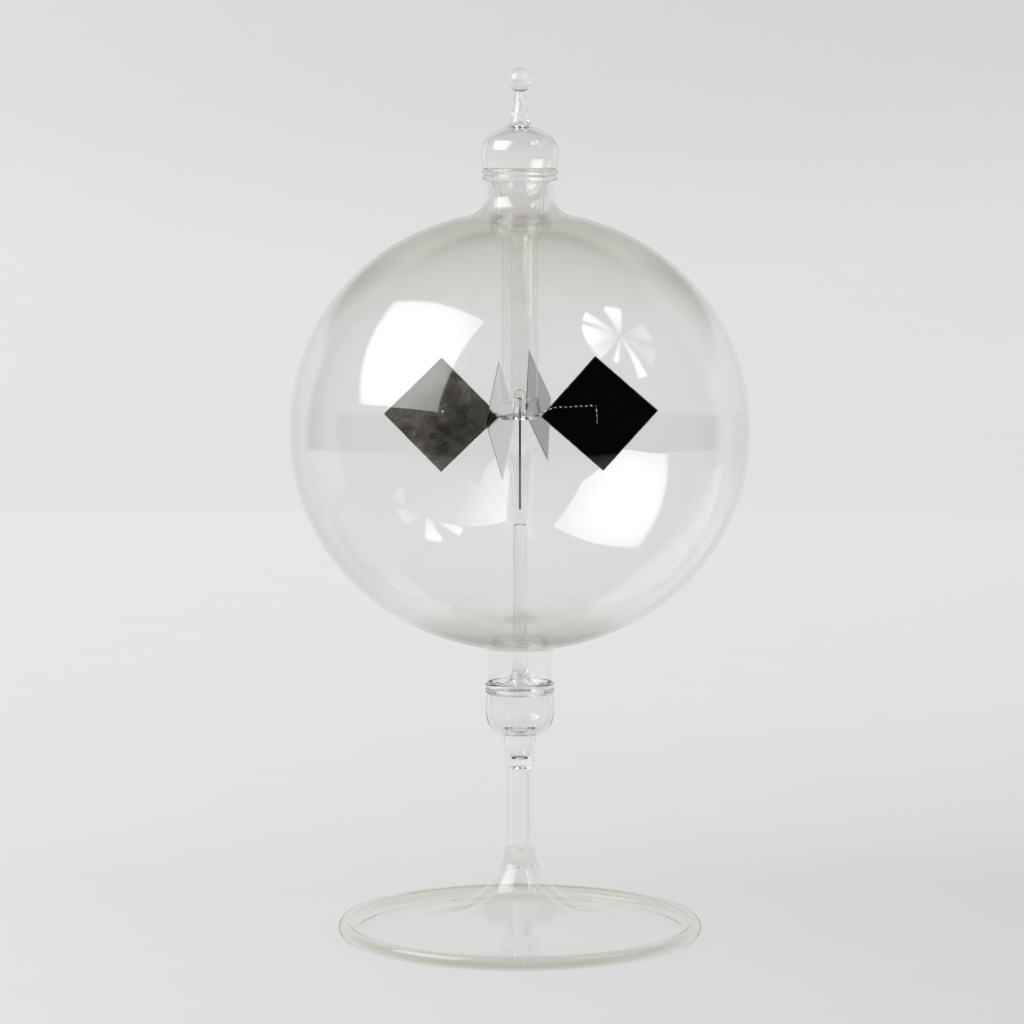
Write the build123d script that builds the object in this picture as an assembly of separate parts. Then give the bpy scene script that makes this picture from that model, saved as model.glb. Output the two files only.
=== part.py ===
from build123d import *
import math
import os

# Crookes radiometer: blown glass vessel on a pedestal foot, with a rotor of four vanes inside.
# Millimetres, +Z up, origin at the centre of the foot's flat underside.

HEIGHT = 240.0
BULB_RADIUS = 63.4
FOOT_RADIUS = 50.5
EPS = 0.01

# Heights of the joints where one piece of glass is fused to the next
FOOT_TOP = 17.8
STEM_BOTTOM = 24.1
STEM_TOP = 46.4
COLLAR_TOP = 55.8
LOWER_SEAL_BOTTOM = 67.4
LOWER_SEAL_TOP = 70.5
UPPER_SEAL_BOTTOM = 209.2
UPPER_SEAL_TOP = 212.6

# Bulb
BULB_CENTRE = 139.9
BULB_RISE = 61.2
BULB_DROP = 60.1
BULB_FULLNESS = 2.06
BULB_WALL = 0.9
SHOULDER_SHARE = 0.8
UPPER_NECK_RADIUS = 9.35
LOWER_NECK_RADIUS = 8.75
UPPER_NECK_BLEND = 6.0
LOWER_NECK_BLEND = 2.6

# Chambers above and below the bulb
CHAMBER_WALL = 1.1
TOP_CHAMBER_RADIUS = 10.6
TOP_CHAMBER_CENTRE = 217.2
TOP_CHAMBER_RISE = 7.3
TOP_CHAMBER_FULLNESS = 2.0
TOP_CHAMBER_MOUTH = 10.1
LOWER_CHAMBER_RADIUS = 9.5
LOWER_CHAMBER_CENTRE = 63.4
LOWER_CHAMBER_DROP = 8.0
LOWER_CHAMBER_FULLNESS = 2.9
LOWER_CHAMBER_MOUTH = 9.1

# Ring seals
UPPER_SEAL_RADIUS = 10.4
LOWER_SEAL_RADIUS = 9.6
UPPER_SEAL_BORE = 6.4
LOWER_SEAL_BORE = 7.0
SEAL_FILL = 0.35

# Evacuation tip and finial
FINIAL_RADIUS = 3.35
TIP_SINK = 0.6
TIP_BASE_RADIUS = 3.5
TIP_BASE_HEIGHT = 2.6
TIP_RADIUS = 2.3
TIP_TAPER = 3.0
TIP_TAPER_RADIUS = 2.0
TIP_NECK_RADIUS = 1.15
TIP_BORE = 1.1
TIP_BORE_TAPER = 1.0

# Guard tube that keeps the rotor on its needle
GUARD_RADIUS = 4.85
GUARD_BORE = 2.45
GUARD_END = 148.2
GUARD_SHOULDER = 192.5
GUARD_OUTER_RISE = 2.6
GUARD_INNER_RISE = 3.6
GUARD_FUNNEL_RADIUS = 6.2
GUARD_FUNNEL_FLARE = 0.5
GUARD_FUNNEL_WALL = 1.2
GUARD_TRUMPET = 3.2
GUARD_MOUTH_WALL = 1.7
GUARD_GAP = 0.1
GUARD_LIP = 1.0

# Support in the middle of the bulb
ROD_RADIUS = 1.75
ROD_BOTTOM = 68.2
ROD_TOP = 114.6
BUTTON_RADIUS = 2.4
BUTTON_HEIGHT = 1.6
FLARE_TOP = 75.5
FLARE_TOP_WALL = 0.25
FLARE_WAIST_RADIUS = 3.35
FLARE_WAIST_RISE = 0.6
FLARE_SINK = 1.7
FLARE_EDGE = 1.0
FLARE_HOLLOW_RADIUS = 3.05
FLARE_HOLLOW_RISE = 0.7
FLARE_HOLLOW_TOP = 2.1
SLEEVE_TOP = 134.0
SLEEVE_MOUTH = 2.95
SLEEVE_WALL = 0.55
SLEEVE_LIP = 0.25
SLEEVE_SOCKET = 122.0
SLEEVE_THROAT_RADIUS = 0.8
SLEEVE_THROAT_RISE = 2.5
NEEDLE_RADIUS = 0.3
NEEDLE_BOTTOM = 118.7
NEEDLE_TIP = 149.55
NEEDLE_POINT = 6.0
NEEDLE_TIP_RADIUS = 0.04

# Stem and foot
COLLAR_RADIUS = 4.75
COLLAR_WAIST_RADIUS = 3.95
COLLAR_WAIST_RISE = 3.4
COLLAR_WEB = 2.4
COLLAR_HOLLOW_RADIUS = 2.5
COLLAR_HOLLOW_RISE = 1.6
COLLAR_MOUTH = 3.1
CHAMBER_CUT = 2.0
STEM_RADIUS = 3.6
STEM_BORE = 2.2
FOOT_NECK_TOP = 3.9
FOOT_NECK_WAIST = 4.35
FOOT_NECK_WAIST_DROP = 2.6
FOOT_NECK_RADIUS = 5.9
FOOT_RIM_HEIGHT = 3.6
FOOT_RIM_WIDTH = 3.4
FOOT_RIM_FLAT = 4.0
FOOT_RIM_ROLL = 1.8
FOOT_RIM_LEVEL = 1.9
FOOT_RIM_UNDER = 0.9
FOOT_DISC_TOP = 3.3
FOOT_HOLLOW_TOP = 15.4
# Radius and height along the sweep from the neck to the disc, and along the hollow underneath
FOOT_SWEEP = [(9.6, 12.6), (16.5, 7.8), (28.0, 4.7)]
FOOT_HOLLOW = [(28.0, 2.4), (16.5, 5.155), (9.0, 9.61)]

# Rotor
ARMS = 4
CUP_RADIUS = 1.55
CUP_BORE = 0.85
CUP_TOP = 152.0
CUP_SEAT = 149.6
CUP_FLARE_TOP = 147.0
CUP_BORE_FLARE = 0.4
BRIM_RADIUS = 5.3
BRIM_ROLL = 0.72
BRIM_SEAM = 0.432
BRIM_HEIGHT = 144.4
VANE_CENTRE_RADIUS = 22.4
VANE_CENTRE_HEIGHT = 145.0
VANE_ALONG = 33.2
VANE_TALL = 31.9
MICA = 0.15
SOOT = 0.05
SOOT_MARGIN = 0.25
WIRE_RADIUS = 0.17
WIRE_GAP = 0.05
WIRE_RUN = 9.5
WIRE_END = 21.8
WIRE_LIFT = 2.3
WIRE_LEG = 5.0
WIRE_BEND = 0.5
PIN_RISE = 0.9
PIN_REACH = 0.45
BEAD_RADIUS = 0.32
# How each vane was set by hand: roll in its own plane, lean about its arm, and rise of its centre
VANE_SET = [(4.0, 1.0, 0.6), (4.0, -9.0, 1.0), (0.0, 1.5, -0.5), (1.0, 2.0, 0.0)]


def turned(*edges):
    """Solid of revolution about Z. The edges close an outline given as radius and height."""
    return revolve(Plane.XZ * make_face(Curve() + list(edges)), Axis.Z)


def quarter(radius, rise, power, height, steps=10):
    """Points of a superellipse from its side, at the given height, to its pole on the axis."""
    points = []
    for step in range(steps + 1):
        angle = math.pi / 2 * step / steps
        across = radius * math.cos(angle) ** (2 / power)
        up = rise * math.sin(angle) ** (2 / power)
        points.append((across, height + up))
    return points


def dome(radius, rise, power, height):
    """Solid between the level of the given height and a superellipse above it, or below it."""
    points = quarter(radius, rise, power, height)
    upright = math.copysign(1, rise)
    skin = Spline(*points, tangents=[(0, upright), (-1, 0)])
    return turned(skin, Line(points[-1], (0, height)), Line((0, height), points[0]))


def column(radius, low, high):
    """Upright cylinder about the axis."""
    return Pos(0, 0, low) * Cylinder(radius, high - low, align=(Align.CENTER, Align.CENTER, Align.MIN))


def rings_between(shape, low, high):
    """Level edges of the shape between two heights."""
    level = shape.edges().filter_by(lambda edge: edge.bounding_box().size.Z < EPS)
    return level.filter_by(lambda edge: low < edge.bounding_box().min.Z < high)


def bulb_body(wall):
    """Globe with its two necks, drawn in from the outside by the wall."""
    side = BULB_RADIUS - wall
    body = dome(side, BULB_RISE - wall, BULB_FULLNESS, BULB_CENTRE)
    body += dome(side, wall - BULB_DROP, 2, BULB_CENTRE)
    body += column(UPPER_NECK_RADIUS - wall, BULB_CENTRE, UPPER_SEAL_BOTTOM)
    body += column(LOWER_NECK_RADIUS - wall, LOWER_SEAL_TOP, BULB_CENTRE)
    upper = rings_between(body, BULB_CENTRE + BULB_RISE * SHOULDER_SHARE, UPPER_SEAL_BOTTOM - EPS)
    body = fillet(upper, UPPER_NECK_BLEND + wall)
    lower = rings_between(body, LOWER_SEAL_TOP + EPS, BULB_CENTRE - BULB_DROP * SHOULDER_SHARE)
    return fillet(lower, LOWER_NECK_BLEND + wall)


def make_bulb():
    return bulb_body(0) - bulb_body(BULB_WALL)


def bead_ring(radius, bore, low, high):
    """Fused bead with a plain bore: two rounded rolls, one on the other, with a groove between."""
    middle = (low + high) / 2
    roll = (high - low) / 4
    shoulder = radius - roll
    groove = shoulder + SEAL_FILL
    return turned(
        Line((bore, low), (shoulder, low)),
        ThreePointArc((shoulder, low), (radius, low + roll), (groove, middle)),
        ThreePointArc((groove, middle), (radius, high - roll), (shoulder, high)),
        Line((shoulder, high), (bore, high)),
        Line((bore, high), (bore, low)),
    )


def make_upper_seal():
    return bead_ring(UPPER_SEAL_RADIUS, UPPER_SEAL_BORE, UPPER_SEAL_BOTTOM, UPPER_SEAL_TOP)


def make_lower_seal():
    return bead_ring(LOWER_SEAL_RADIUS, LOWER_SEAL_BORE, LOWER_SEAL_BOTTOM, LOWER_SEAL_TOP)


def chamber_side(mouth, mouth_height, side, side_height):
    """Slightly bellied wall from a chamber's mouth to its widest level, as a filled solid."""
    way = math.copysign(1, side_height - mouth_height)
    return turned(
        Spline((mouth, mouth_height), (side, side_height), tangents=[(side - mouth, way), (0, way)]),
        Line((side, side_height), (0, side_height)),
        Line((0, side_height), (0, mouth_height)),
        Line((0, mouth_height), (mouth, mouth_height)),
    )


def top_chamber_body(wall):
    side = TOP_CHAMBER_RADIUS - wall
    body = dome(side, TOP_CHAMBER_RISE - wall, TOP_CHAMBER_FULLNESS, TOP_CHAMBER_CENTRE)
    return body + chamber_side(TOP_CHAMBER_MOUTH - wall, UPPER_SEAL_TOP, side, TOP_CHAMBER_CENTRE)


def make_top_chamber():
    shell = top_chamber_body(0) - top_chamber_body(CHAMBER_WALL)
    return shell - column(TIP_BORE, TOP_CHAMBER_CENTRE, HEIGHT)


def make_evacuation_tip():
    """Drawn-off pumping tube: flared base, slim stalk and a hollow that closes to a point."""
    base = TOP_CHAMBER_CENTRE + TOP_CHAMBER_RISE - TIP_SINK
    top = HEIGHT - 2 * FINIAL_RADIUS + TIP_SINK
    stalk_low = base + TIP_BASE_HEIGHT
    stalk_high = top - TIP_TAPER
    solid = turned(
        Spline(
            (TIP_BASE_RADIUS, base),
            (TIP_RADIUS, stalk_low),
            (TIP_TAPER_RADIUS, stalk_high),
            (TIP_NECK_RADIUS, top),
            tangents=[(-1, 0.4), (0, 1)],
        ),
        Line((TIP_NECK_RADIUS, top), (0, top)),
        Line((0, top), (0, base)),
        Line((0, base), (TIP_BASE_RADIUS, base)),
    )
    hollow_top = stalk_high + TIP_BORE_TAPER
    hollow = turned(
        Spline((TIP_BORE, base), (TIP_BORE, stalk_low), (0, hollow_top), tangents=[(0, 1), (-0.35, 1)]),
        Line((0, hollow_top), (0, base)),
        Line((0, base), (TIP_BORE, base)),
    )
    return solid - hollow - top_chamber_body(0) - make_finial()


def make_finial():
    return Pos(0, 0, HEIGHT - FINIAL_RADIUS) * Sphere(FINIAL_RADIUS)


def guard_body(tube, shoulder_rise, funnel, mouth, low):
    """Filled shape of the guard tube: straight tube, rounded shoulder, funnel and trumpet end."""
    funnel_low = GUARD_SHOULDER + shoulder_rise
    funnel_high = UPPER_SEAL_BOTTOM - GUARD_TRUMPET
    skin = Spline(
        (tube, GUARD_SHOULDER),
        (funnel, funnel_low),
        (funnel + GUARD_FUNNEL_FLARE, funnel_high),
        (mouth, UPPER_SEAL_BOTTOM),
        tangents=[(0, 1), (1, 0.9)],
    )
    return turned(
        Line((0, low), (tube, low)),
        Line((tube, low), (tube, GUARD_SHOULDER)),
        skin,
        Line((mouth, UPPER_SEAL_BOTTOM), (0, UPPER_SEAL_BOTTOM)),
        Line((0, UPPER_SEAL_BOTTOM), (0, low)),
    )


def make_guard_tube():
    mouth = UPPER_NECK_RADIUS - BULB_WALL - GUARD_GAP
    bore_funnel = GUARD_FUNNEL_RADIUS - GUARD_FUNNEL_WALL
    bore_mouth = mouth - GUARD_MOUTH_WALL
    tube = guard_body(GUARD_RADIUS, GUARD_OUTER_RISE, GUARD_FUNNEL_RADIUS, mouth, GUARD_END)
    tube -= guard_body(GUARD_BORE, GUARD_INNER_RISE, bore_funnel, bore_mouth, GUARD_END)
    return fillet(rings_between(tube, GUARD_END - EPS, GUARD_END + EPS), GUARD_LIP)


def make_support_flare():
    """Trumpet from the rod out to the lower ring seal."""
    edge_high = LOWER_SEAL_TOP - FLARE_SINK
    edge_low = edge_high - FLARE_EDGE
    hollow_top = edge_low + FLARE_HOLLOW_TOP
    collar = ROD_RADIUS + FLARE_TOP_WALL
    return turned(
        Spline(
            (collar, FLARE_TOP),
            (FLARE_WAIST_RADIUS, LOWER_SEAL_TOP + FLARE_WAIST_RISE),
            (LOWER_SEAL_BORE, edge_high),
            tangents=[(0, -1), (1, -0.12)],
        ),
        Line((LOWER_SEAL_BORE, edge_high), (LOWER_SEAL_BORE, edge_low)),
        Spline(
            (LOWER_SEAL_BORE, edge_low),
            (FLARE_HOLLOW_RADIUS, edge_low + FLARE_HOLLOW_RISE),
            (ROD_RADIUS, hollow_top),
            tangents=[(-1, 0.08), (-0.4, 1)],
        ),
        Line((ROD_RADIUS, hollow_top), (ROD_RADIUS, FLARE_TOP)),
        Line((ROD_RADIUS, FLARE_TOP), (collar, FLARE_TOP)),
    )


def make_support_rod():
    """Solid glass rod with a small button where it was melted off under the flare."""
    rod = column(ROD_RADIUS, ROD_BOTTOM, ROD_TOP)
    button = Pos(0, 0, ROD_BOTTOM) * Sphere(BUTTON_RADIUS)
    button &= Pos(0, 0, ROD_BOTTOM) * Cylinder(BUTTON_RADIUS, BUTTON_HEIGHT)
    return rod + button


def make_needle_sleeve():
    """Slim open funnel on the rod's end. The needle's blunt end is fused in its throat."""
    outside = turned(
        Line((0, ROD_TOP), (ROD_RADIUS, ROD_TOP)),
        Line((ROD_RADIUS, ROD_TOP), (SLEEVE_MOUTH, SLEEVE_TOP)),
        Line((SLEEVE_MOUTH, SLEEVE_TOP), (0, SLEEVE_TOP)),
        Line((0, SLEEVE_TOP), (0, ROD_TOP)),
    )
    inner_mouth = SLEEVE_MOUTH - SLEEVE_WALL
    throat = SLEEVE_SOCKET + SLEEVE_THROAT_RISE
    hollow = turned(
        Line((0, SLEEVE_SOCKET), (NEEDLE_RADIUS, SLEEVE_SOCKET)),
        Spline((NEEDLE_RADIUS, SLEEVE_SOCKET), (SLEEVE_THROAT_RADIUS, throat), (inner_mouth, SLEEVE_TOP)),
        Line((inner_mouth, SLEEVE_TOP), (0, SLEEVE_TOP)),
        Line((0, SLEEVE_TOP), (0, SLEEVE_SOCKET)),
    )
    sleeve = outside - hollow - column(NEEDLE_RADIUS, NEEDLE_BOTTOM, SLEEVE_TOP)
    lip = rings_between(sleeve, SLEEVE_TOP - EPS, SLEEVE_TOP + EPS)
    return fillet(lip, SLEEVE_LIP)


def make_needle():
    shaft_top = NEEDLE_TIP - NEEDLE_POINT
    point = Pos(0, 0, shaft_top) * Cone(
        NEEDLE_RADIUS,
        NEEDLE_TIP_RADIUS,
        NEEDLE_POINT,
        align=(Align.CENTER, Align.CENTER, Align.MIN),
    )
    return column(NEEDLE_RADIUS, NEEDLE_BOTTOM, shaft_top) + point


def lower_chamber_body(wall):
    side = LOWER_CHAMBER_RADIUS - wall
    body = dome(side, wall - LOWER_CHAMBER_DROP, LOWER_CHAMBER_FULLNESS, LOWER_CHAMBER_CENTRE)
    return body + chamber_side(LOWER_CHAMBER_MOUTH - wall, LOWER_SEAL_BOTTOM, side, LOWER_CHAMBER_CENTRE)


def make_lower_chamber():
    shell = lower_chamber_body(0) - lower_chamber_body(CHAMBER_WALL)
    below = column(LOWER_CHAMBER_RADIUS, COLLAR_TOP - CHAMBER_CUT, COLLAR_TOP)
    return shell - below - column(STEM_BORE, COLLAR_TOP, LOWER_CHAMBER_CENTRE)


def make_stem_collar():
    """Tapered joint with a hollow that ends in a web above the stem."""
    web = STEM_TOP + COLLAR_WEB
    outside = turned(
        Spline(
            (STEM_RADIUS, STEM_TOP),
            (COLLAR_WAIST_RADIUS, STEM_TOP + COLLAR_WAIST_RISE),
            (COLLAR_RADIUS, COLLAR_TOP),
            tangents=[(0, 1), (0.35, 1)],
        ),
        Line((COLLAR_RADIUS, COLLAR_TOP), (0, COLLAR_TOP)),
        Line((0, COLLAR_TOP), (0, STEM_TOP)),
        Line((0, STEM_TOP), (STEM_RADIUS, STEM_TOP)),
    )
    hollow = turned(
        Spline(
            (0, web),
            (COLLAR_HOLLOW_RADIUS, web + COLLAR_HOLLOW_RISE),
            (COLLAR_MOUTH, COLLAR_TOP),
            tangents=[(1, 0), (0, 1)],
        ),
        Line((COLLAR_MOUTH, COLLAR_TOP), (0, COLLAR_TOP)),
        Line((0, COLLAR_TOP), (0, web)),
    )
    return outside - hollow


def make_stem_tube():
    return column(STEM_RADIUS, STEM_BOTTOM, STEM_TOP) - column(STEM_BORE, STEM_BOTTOM, STEM_TOP)


def make_foot_neck():
    """Solid gather of glass between the stem and the foot."""
    return turned(
        Spline(
            (FOOT_NECK_TOP, STEM_BOTTOM),
            (FOOT_NECK_WAIST, STEM_BOTTOM - FOOT_NECK_WAIST_DROP),
            (FOOT_NECK_RADIUS, FOOT_TOP),
            tangents=[(0.15, -1), (1, -1.2)],
        ),
        Line((FOOT_NECK_RADIUS, FOOT_TOP), (0, FOOT_TOP)),
        Line((0, FOOT_TOP), (0, STEM_BOTTOM)),
        Line((0, STEM_BOTTOM), (FOOT_NECK_TOP, STEM_BOTTOM)),
    )


def make_foot():
    """Blown foot: hollow cone that sweeps out into a thin disc with a thick rolled rim."""
    neck = (FOOT_NECK_RADIUS, FOOT_TOP)
    disc_edge = (FOOT_RADIUS - FOOT_RIM_WIDTH, FOOT_DISC_TOP)
    rim_top = (FOOT_RADIUS - FOOT_RIM_ROLL, FOOT_RIM_HEIGHT)
    rim_side = (FOOT_RADIUS, FOOT_RIM_LEVEL)
    rest_outer = (FOOT_RADIUS - FOOT_RIM_UNDER, 0)
    rest_inner = (FOOT_RADIUS - FOOT_RIM_FLAT, 0)
    return turned(
        Spline(neck, *FOOT_SWEEP, disc_edge, tangents=[(1, -1.2), (1, -0.02)]),
        Spline(disc_edge, rim_top, rim_side, tangents=[(1, -0.02), (0, -1)]),
        Spline(rim_side, rest_outer, tangents=[(0, -1), (-1, 0)]),
        Line(rest_outer, rest_inner),
        Spline(rest_inner, *FOOT_HOLLOW, (0, FOOT_HOLLOW_TOP), tangents=[(-1, 0.35), (-1, 0)]),
        Line((0, FOOT_HOLLOW_TOP), (0, FOOT_TOP)),
        Line((0, FOOT_TOP), neck),
    )


def make_bearing_cup():
    """Closed-end cup with a flared skirt and a rolled brim."""
    brim_centre = BRIM_RADIUS - BRIM_ROLL
    seam_high = (brim_centre, BRIM_HEIGHT + BRIM_SEAM)
    seam_low = (brim_centre, BRIM_HEIGHT - BRIM_SEAM)
    flare_high = (CUP_RADIUS, CUP_FLARE_TOP)
    bore_low = (CUP_BORE, CUP_FLARE_TOP - CUP_BORE_FLARE)
    dome_low = CUP_TOP - CUP_RADIUS
    seat_low = CUP_SEAT - CUP_BORE
    skirt = turned(
        RadiusArc((0, CUP_TOP), (CUP_RADIUS, dome_low), CUP_RADIUS),
        Line((CUP_RADIUS, dome_low), flare_high),
        Spline(flare_high, seam_high, tangents=[(0, -1), (1, -0.1)]),
        Line(seam_high, seam_low),
        Spline(seam_low, bore_low, tangents=[(-1, 0.1), (0, 1)]),
        Line(bore_low, (CUP_BORE, seat_low)),
        RadiusArc((CUP_BORE, seat_low), (0, CUP_SEAT), -CUP_BORE),
        Line((0, CUP_SEAT), (0, CUP_TOP)),
    )
    return skirt + Pos(0, 0, BRIM_HEIGHT) * Torus(brim_centre, BRIM_ROLL)


def vane_seat(arm):
    """Where a vane's centre lies on the +X arm, with the roll, lean and rise it was set with."""
    roll, lean, rise = VANE_SET[arm]
    return Pos(VANE_CENTRE_RADIUS, 0, VANE_CENTRE_HEIGHT + rise) * Rot(lean, -roll, 0)


def on_arm(arm):
    """Rotation from the +X arm to the given arm."""
    return Rot(0, 0, arm * 360 / ARMS)


def diamond(margin, back, front):
    """Thin plate on edge, with corners up, down, in and out, between two levels across the arm."""
    along = VANE_ALONG / 2 - margin
    tall = VANE_TALL / 2 - margin
    outline = Polyline((along, 0), (0, tall), (-along, 0), (0, -tall), close=True)
    plate = extrude(Plane.XZ * make_face(outline), back - front)
    return Pos(0, back, 0) * plate


def make_arm(arm):
    """Wire from the brim across the black face, with a bent-down end and a pin through the mica."""
    seat = vane_seat(arm)
    across = -(MICA / 2 + SOOT + WIRE_GAP + WIRE_RADIUS)
    end = WIRE_END - VANE_CENTRE_RADIUS
    start = Vector(BRIM_RADIUS - BRIM_ROLL, across, BRIM_HEIGHT)
    run_start = (seat * Pos(WIRE_RUN - VANE_CENTRE_RADIUS, across, WIRE_LIFT)).position
    corner = (seat * Pos(end, across, WIRE_LIFT)).position
    tip = (seat * Pos(end, across, WIRE_LIFT - WIRE_LEG)).position
    path = FilletPolyline(start, run_start, corner, tip, radius=WIRE_BEND)
    wire = sweep(Plane(origin=start, z_dir=run_start - start) * Circle(WIRE_RADIUS), path=path)
    pin = Pos(end, across, PIN_RISE) * Rot(-90, 0, 0) * Cylinder(
        WIRE_RADIUS,
        PIN_REACH - across,
        align=(Align.CENTER, Align.CENTER, Align.MIN),
    )
    bead = Pos(end, PIN_REACH, PIN_RISE) * Sphere(BEAD_RADIUS)
    return on_arm(arm) * (wire + seat * (pin + bead))


def make_mica(arm, wire):
    plate = diamond(0, MICA / 2, -MICA / 2)
    return on_arm(arm) * (vane_seat(arm) * plate) - wire


def make_soot(arm, wire):
    film = diamond(SOOT_MARGIN, -MICA / 2, -MICA / 2 - SOOT)
    return on_arm(arm) * (vane_seat(arm) * film) - wire


def make_vessel():
    """Every fused glass piece, and the needle, by name."""
    return {
        "bulb": make_bulb(),
        "upper_ring_seal": make_upper_seal(),
        "top_chamber": make_top_chamber(),
        "evacuation_tip": make_evacuation_tip(),
        "finial_ball": make_finial(),
        "guard_tube": make_guard_tube(),
        "lower_ring_seal": make_lower_seal(),
        "support_flare": make_support_flare(),
        "support_rod": make_support_rod(),
        "needle_sleeve": make_needle_sleeve(),
        "pivot_needle": make_needle(),
        "lower_chamber": make_lower_chamber(),
        "stem_collar": make_stem_collar(),
        "stem_tube": make_stem_tube(),
        "foot_neck": make_foot_neck(),
        "foot": make_foot(),
    }


def make_rotor():
    """The cup and its four arms, each with a mica vane and the soot on one face, by name."""
    pieces = {}
    cup = make_bearing_cup()
    for arm in range(ARMS):
        wire = make_arm(arm)
        cup -= wire
        pieces[f"vane_arm_{arm + 1}"] = wire
        pieces[f"vane_{arm + 1}"] = make_mica(arm, wire)
        pieces[f"lampblack_{arm + 1}"] = make_soot(arm, wire)
    pieces["bearing_cup"] = cup
    return pieces


os.makedirs("parts", exist_ok=True)
for name, piece in {**make_vessel(), **make_rotor()}.items():
    export_step(piece, f"parts/{name}.step")
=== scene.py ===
import math
import random

import bmesh
import bpy
from mathutils import Matrix, Vector


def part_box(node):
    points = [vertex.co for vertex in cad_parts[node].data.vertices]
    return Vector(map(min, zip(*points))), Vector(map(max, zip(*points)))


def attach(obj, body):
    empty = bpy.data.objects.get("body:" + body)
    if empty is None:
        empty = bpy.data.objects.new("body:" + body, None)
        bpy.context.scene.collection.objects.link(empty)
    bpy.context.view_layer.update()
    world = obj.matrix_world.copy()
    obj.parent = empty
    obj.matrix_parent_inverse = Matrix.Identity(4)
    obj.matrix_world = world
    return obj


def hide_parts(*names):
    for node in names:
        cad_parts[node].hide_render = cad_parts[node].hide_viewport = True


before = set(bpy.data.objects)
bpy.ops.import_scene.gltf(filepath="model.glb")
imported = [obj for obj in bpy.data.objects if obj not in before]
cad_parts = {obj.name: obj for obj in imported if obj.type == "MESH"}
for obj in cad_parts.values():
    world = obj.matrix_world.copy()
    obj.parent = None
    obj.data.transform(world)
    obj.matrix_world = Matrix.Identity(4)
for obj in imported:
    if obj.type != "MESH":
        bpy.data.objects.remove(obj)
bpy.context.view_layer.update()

MM = 0.001
TINY = 1e-7
GLASS_IOR = 1.5
NORMAL_MIRROR = 0.04
# What a face of a turned piece is: the number of its material on the piece
SKIN, JOINT, RIM = range(3)

# Heights and radii that the CAD pieces give, in metres
FOOT_LOW, FOOT_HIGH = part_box("foot")
NECK_LOW, NECK_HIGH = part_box("foot_neck")
STEM_LOW, STEM_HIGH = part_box("stem_tube")
COLLAR_LOW, COLLAR_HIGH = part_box("stem_collar")
LOWER_CHAMBER_LOW, LOWER_CHAMBER_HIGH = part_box("lower_chamber")
LOWER_SEAL_LOW, LOWER_SEAL_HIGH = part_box("lower_ring_seal")
FLARE_LOW, FLARE_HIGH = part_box("support_flare")
ROD_LOW, ROD_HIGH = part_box("support_rod")
SLEEVE_LOW, SLEEVE_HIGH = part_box("needle_sleeve")
NEEDLE_LOW, NEEDLE_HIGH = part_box("pivot_needle")
BULB_LOW, BULB_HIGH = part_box("bulb")
GUARD_LOW, GUARD_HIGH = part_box("guard_tube")
UPPER_SEAL_LOW, UPPER_SEAL_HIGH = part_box("upper_ring_seal")
TOP_CHAMBER_LOW, TOP_CHAMBER_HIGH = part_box("top_chamber")
_, FINIAL_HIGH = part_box("finial_ball")
_, CUP_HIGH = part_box("bearing_cup")

# Inside sizes that a box can't give
BULB_CENTRE = 139.9 * MM
BULB_WALL = 0.9 * MM
BULB_RISE = 61.2 * MM
BULB_DROP = 60.1 * MM
BULB_FULLNESS = 2.06
UPPER_NECK = 9.35 * MM
LOWER_NECK = 8.75 * MM
UPPER_BLEND = 6.0 * MM
LOWER_BLEND = 2.6 * MM
CHAMBER_WALL = 1.1 * MM
TOP_CHAMBER_MOUTH = 10.1 * MM
LOWER_CHAMBER_MOUTH = 9.1 * MM
# Each chamber's mouth radius and height, its side, its rise to the pole, its fullness and its widest level
TOP_CHAMBER = (TOP_CHAMBER_MOUTH, TOP_CHAMBER_LOW.z, TOP_CHAMBER_HIGH.x, 7.3 * MM, 2.0, 217.2 * MM)
LOWER_CHAMBER = (LOWER_CHAMBER_MOUTH, LOWER_CHAMBER_HIGH.z, LOWER_CHAMBER_HIGH.x, -8.0 * MM, 2.9, 63.4 * MM)
UPPER_BORE = 6.7 * MM
LOWER_BORE = 7.0 * MM
TIP_BASE = 3.5 * MM
TIP_BORE = 1.1 * MM
TIP_NECK = 1.15 * MM
TIP_STALK = 2.3 * MM
GUARD_RADIUS = 4.85 * MM
GUARD_BORE = 2.45 * MM
GUARD_SHOULDER = 192.5 * MM
GUARD_FUNNEL = 6.2 * MM
GUARD_FUNNEL_WALL = 1.2 * MM
GUARD_LIP = 1.0 * MM
FLARE_LIP = 0.5 * MM
FLARE_JOINT_DROP = 1.7 * MM
FLARE_CROWN = 2.6 * MM
ROD_RADIUS = 1.75 * MM
SLEEVE_WALL = 0.55 * MM
SLEEVE_SOCKET = 122.0 * MM
NEEDLE_RADIUS = 0.3 * MM
NEEDLE_POINT = 6.0 * MM
NEEDLE_TIP_RADIUS = 0.04 * MM
STEM_BORE = 2.2 * MM
COLLAR_MOUTH = STEM_BORE + 0.9 * MM
FOOT_NECK_RADIUS = 5.9 * MM
DISC_LEVEL = 3.65 * MM
DISC_SLOPE = 0.35 * MM
RINGS_INSIDE, RINGS_OUTSIDE = 38.0 * MM, 46.9 * MM
RING_COUNT = 4.5
RING_DEPTH = 0.055 * MM
RING_STEPS = 84
UNDER_STEPS = 14
CUP_RADIUS = 1.55 * MM
CUP_BORE = 0.85 * MM
CUP_SEAT = 149.6 * MM
CUP_FLARE_TOP = 147.0 * MM
BRIM_HEIGHT = 144.4 * MM
BRIM_RADIUS = 5.3 * MM
BRIM_ROLL = 0.72 * MM


# ---------------------------------------------------------------- outlines

def arc(centre, radius, start, end, steps):
    """Points of a circular arc, angles in degrees from the outward direction."""
    points = []
    for step in range(steps + 1):
        angle = math.radians(start + (end - start) * step / steps)
        points.append((centre[0] + radius * math.cos(angle), centre[1] + radius * math.sin(angle)))
    return points


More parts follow.
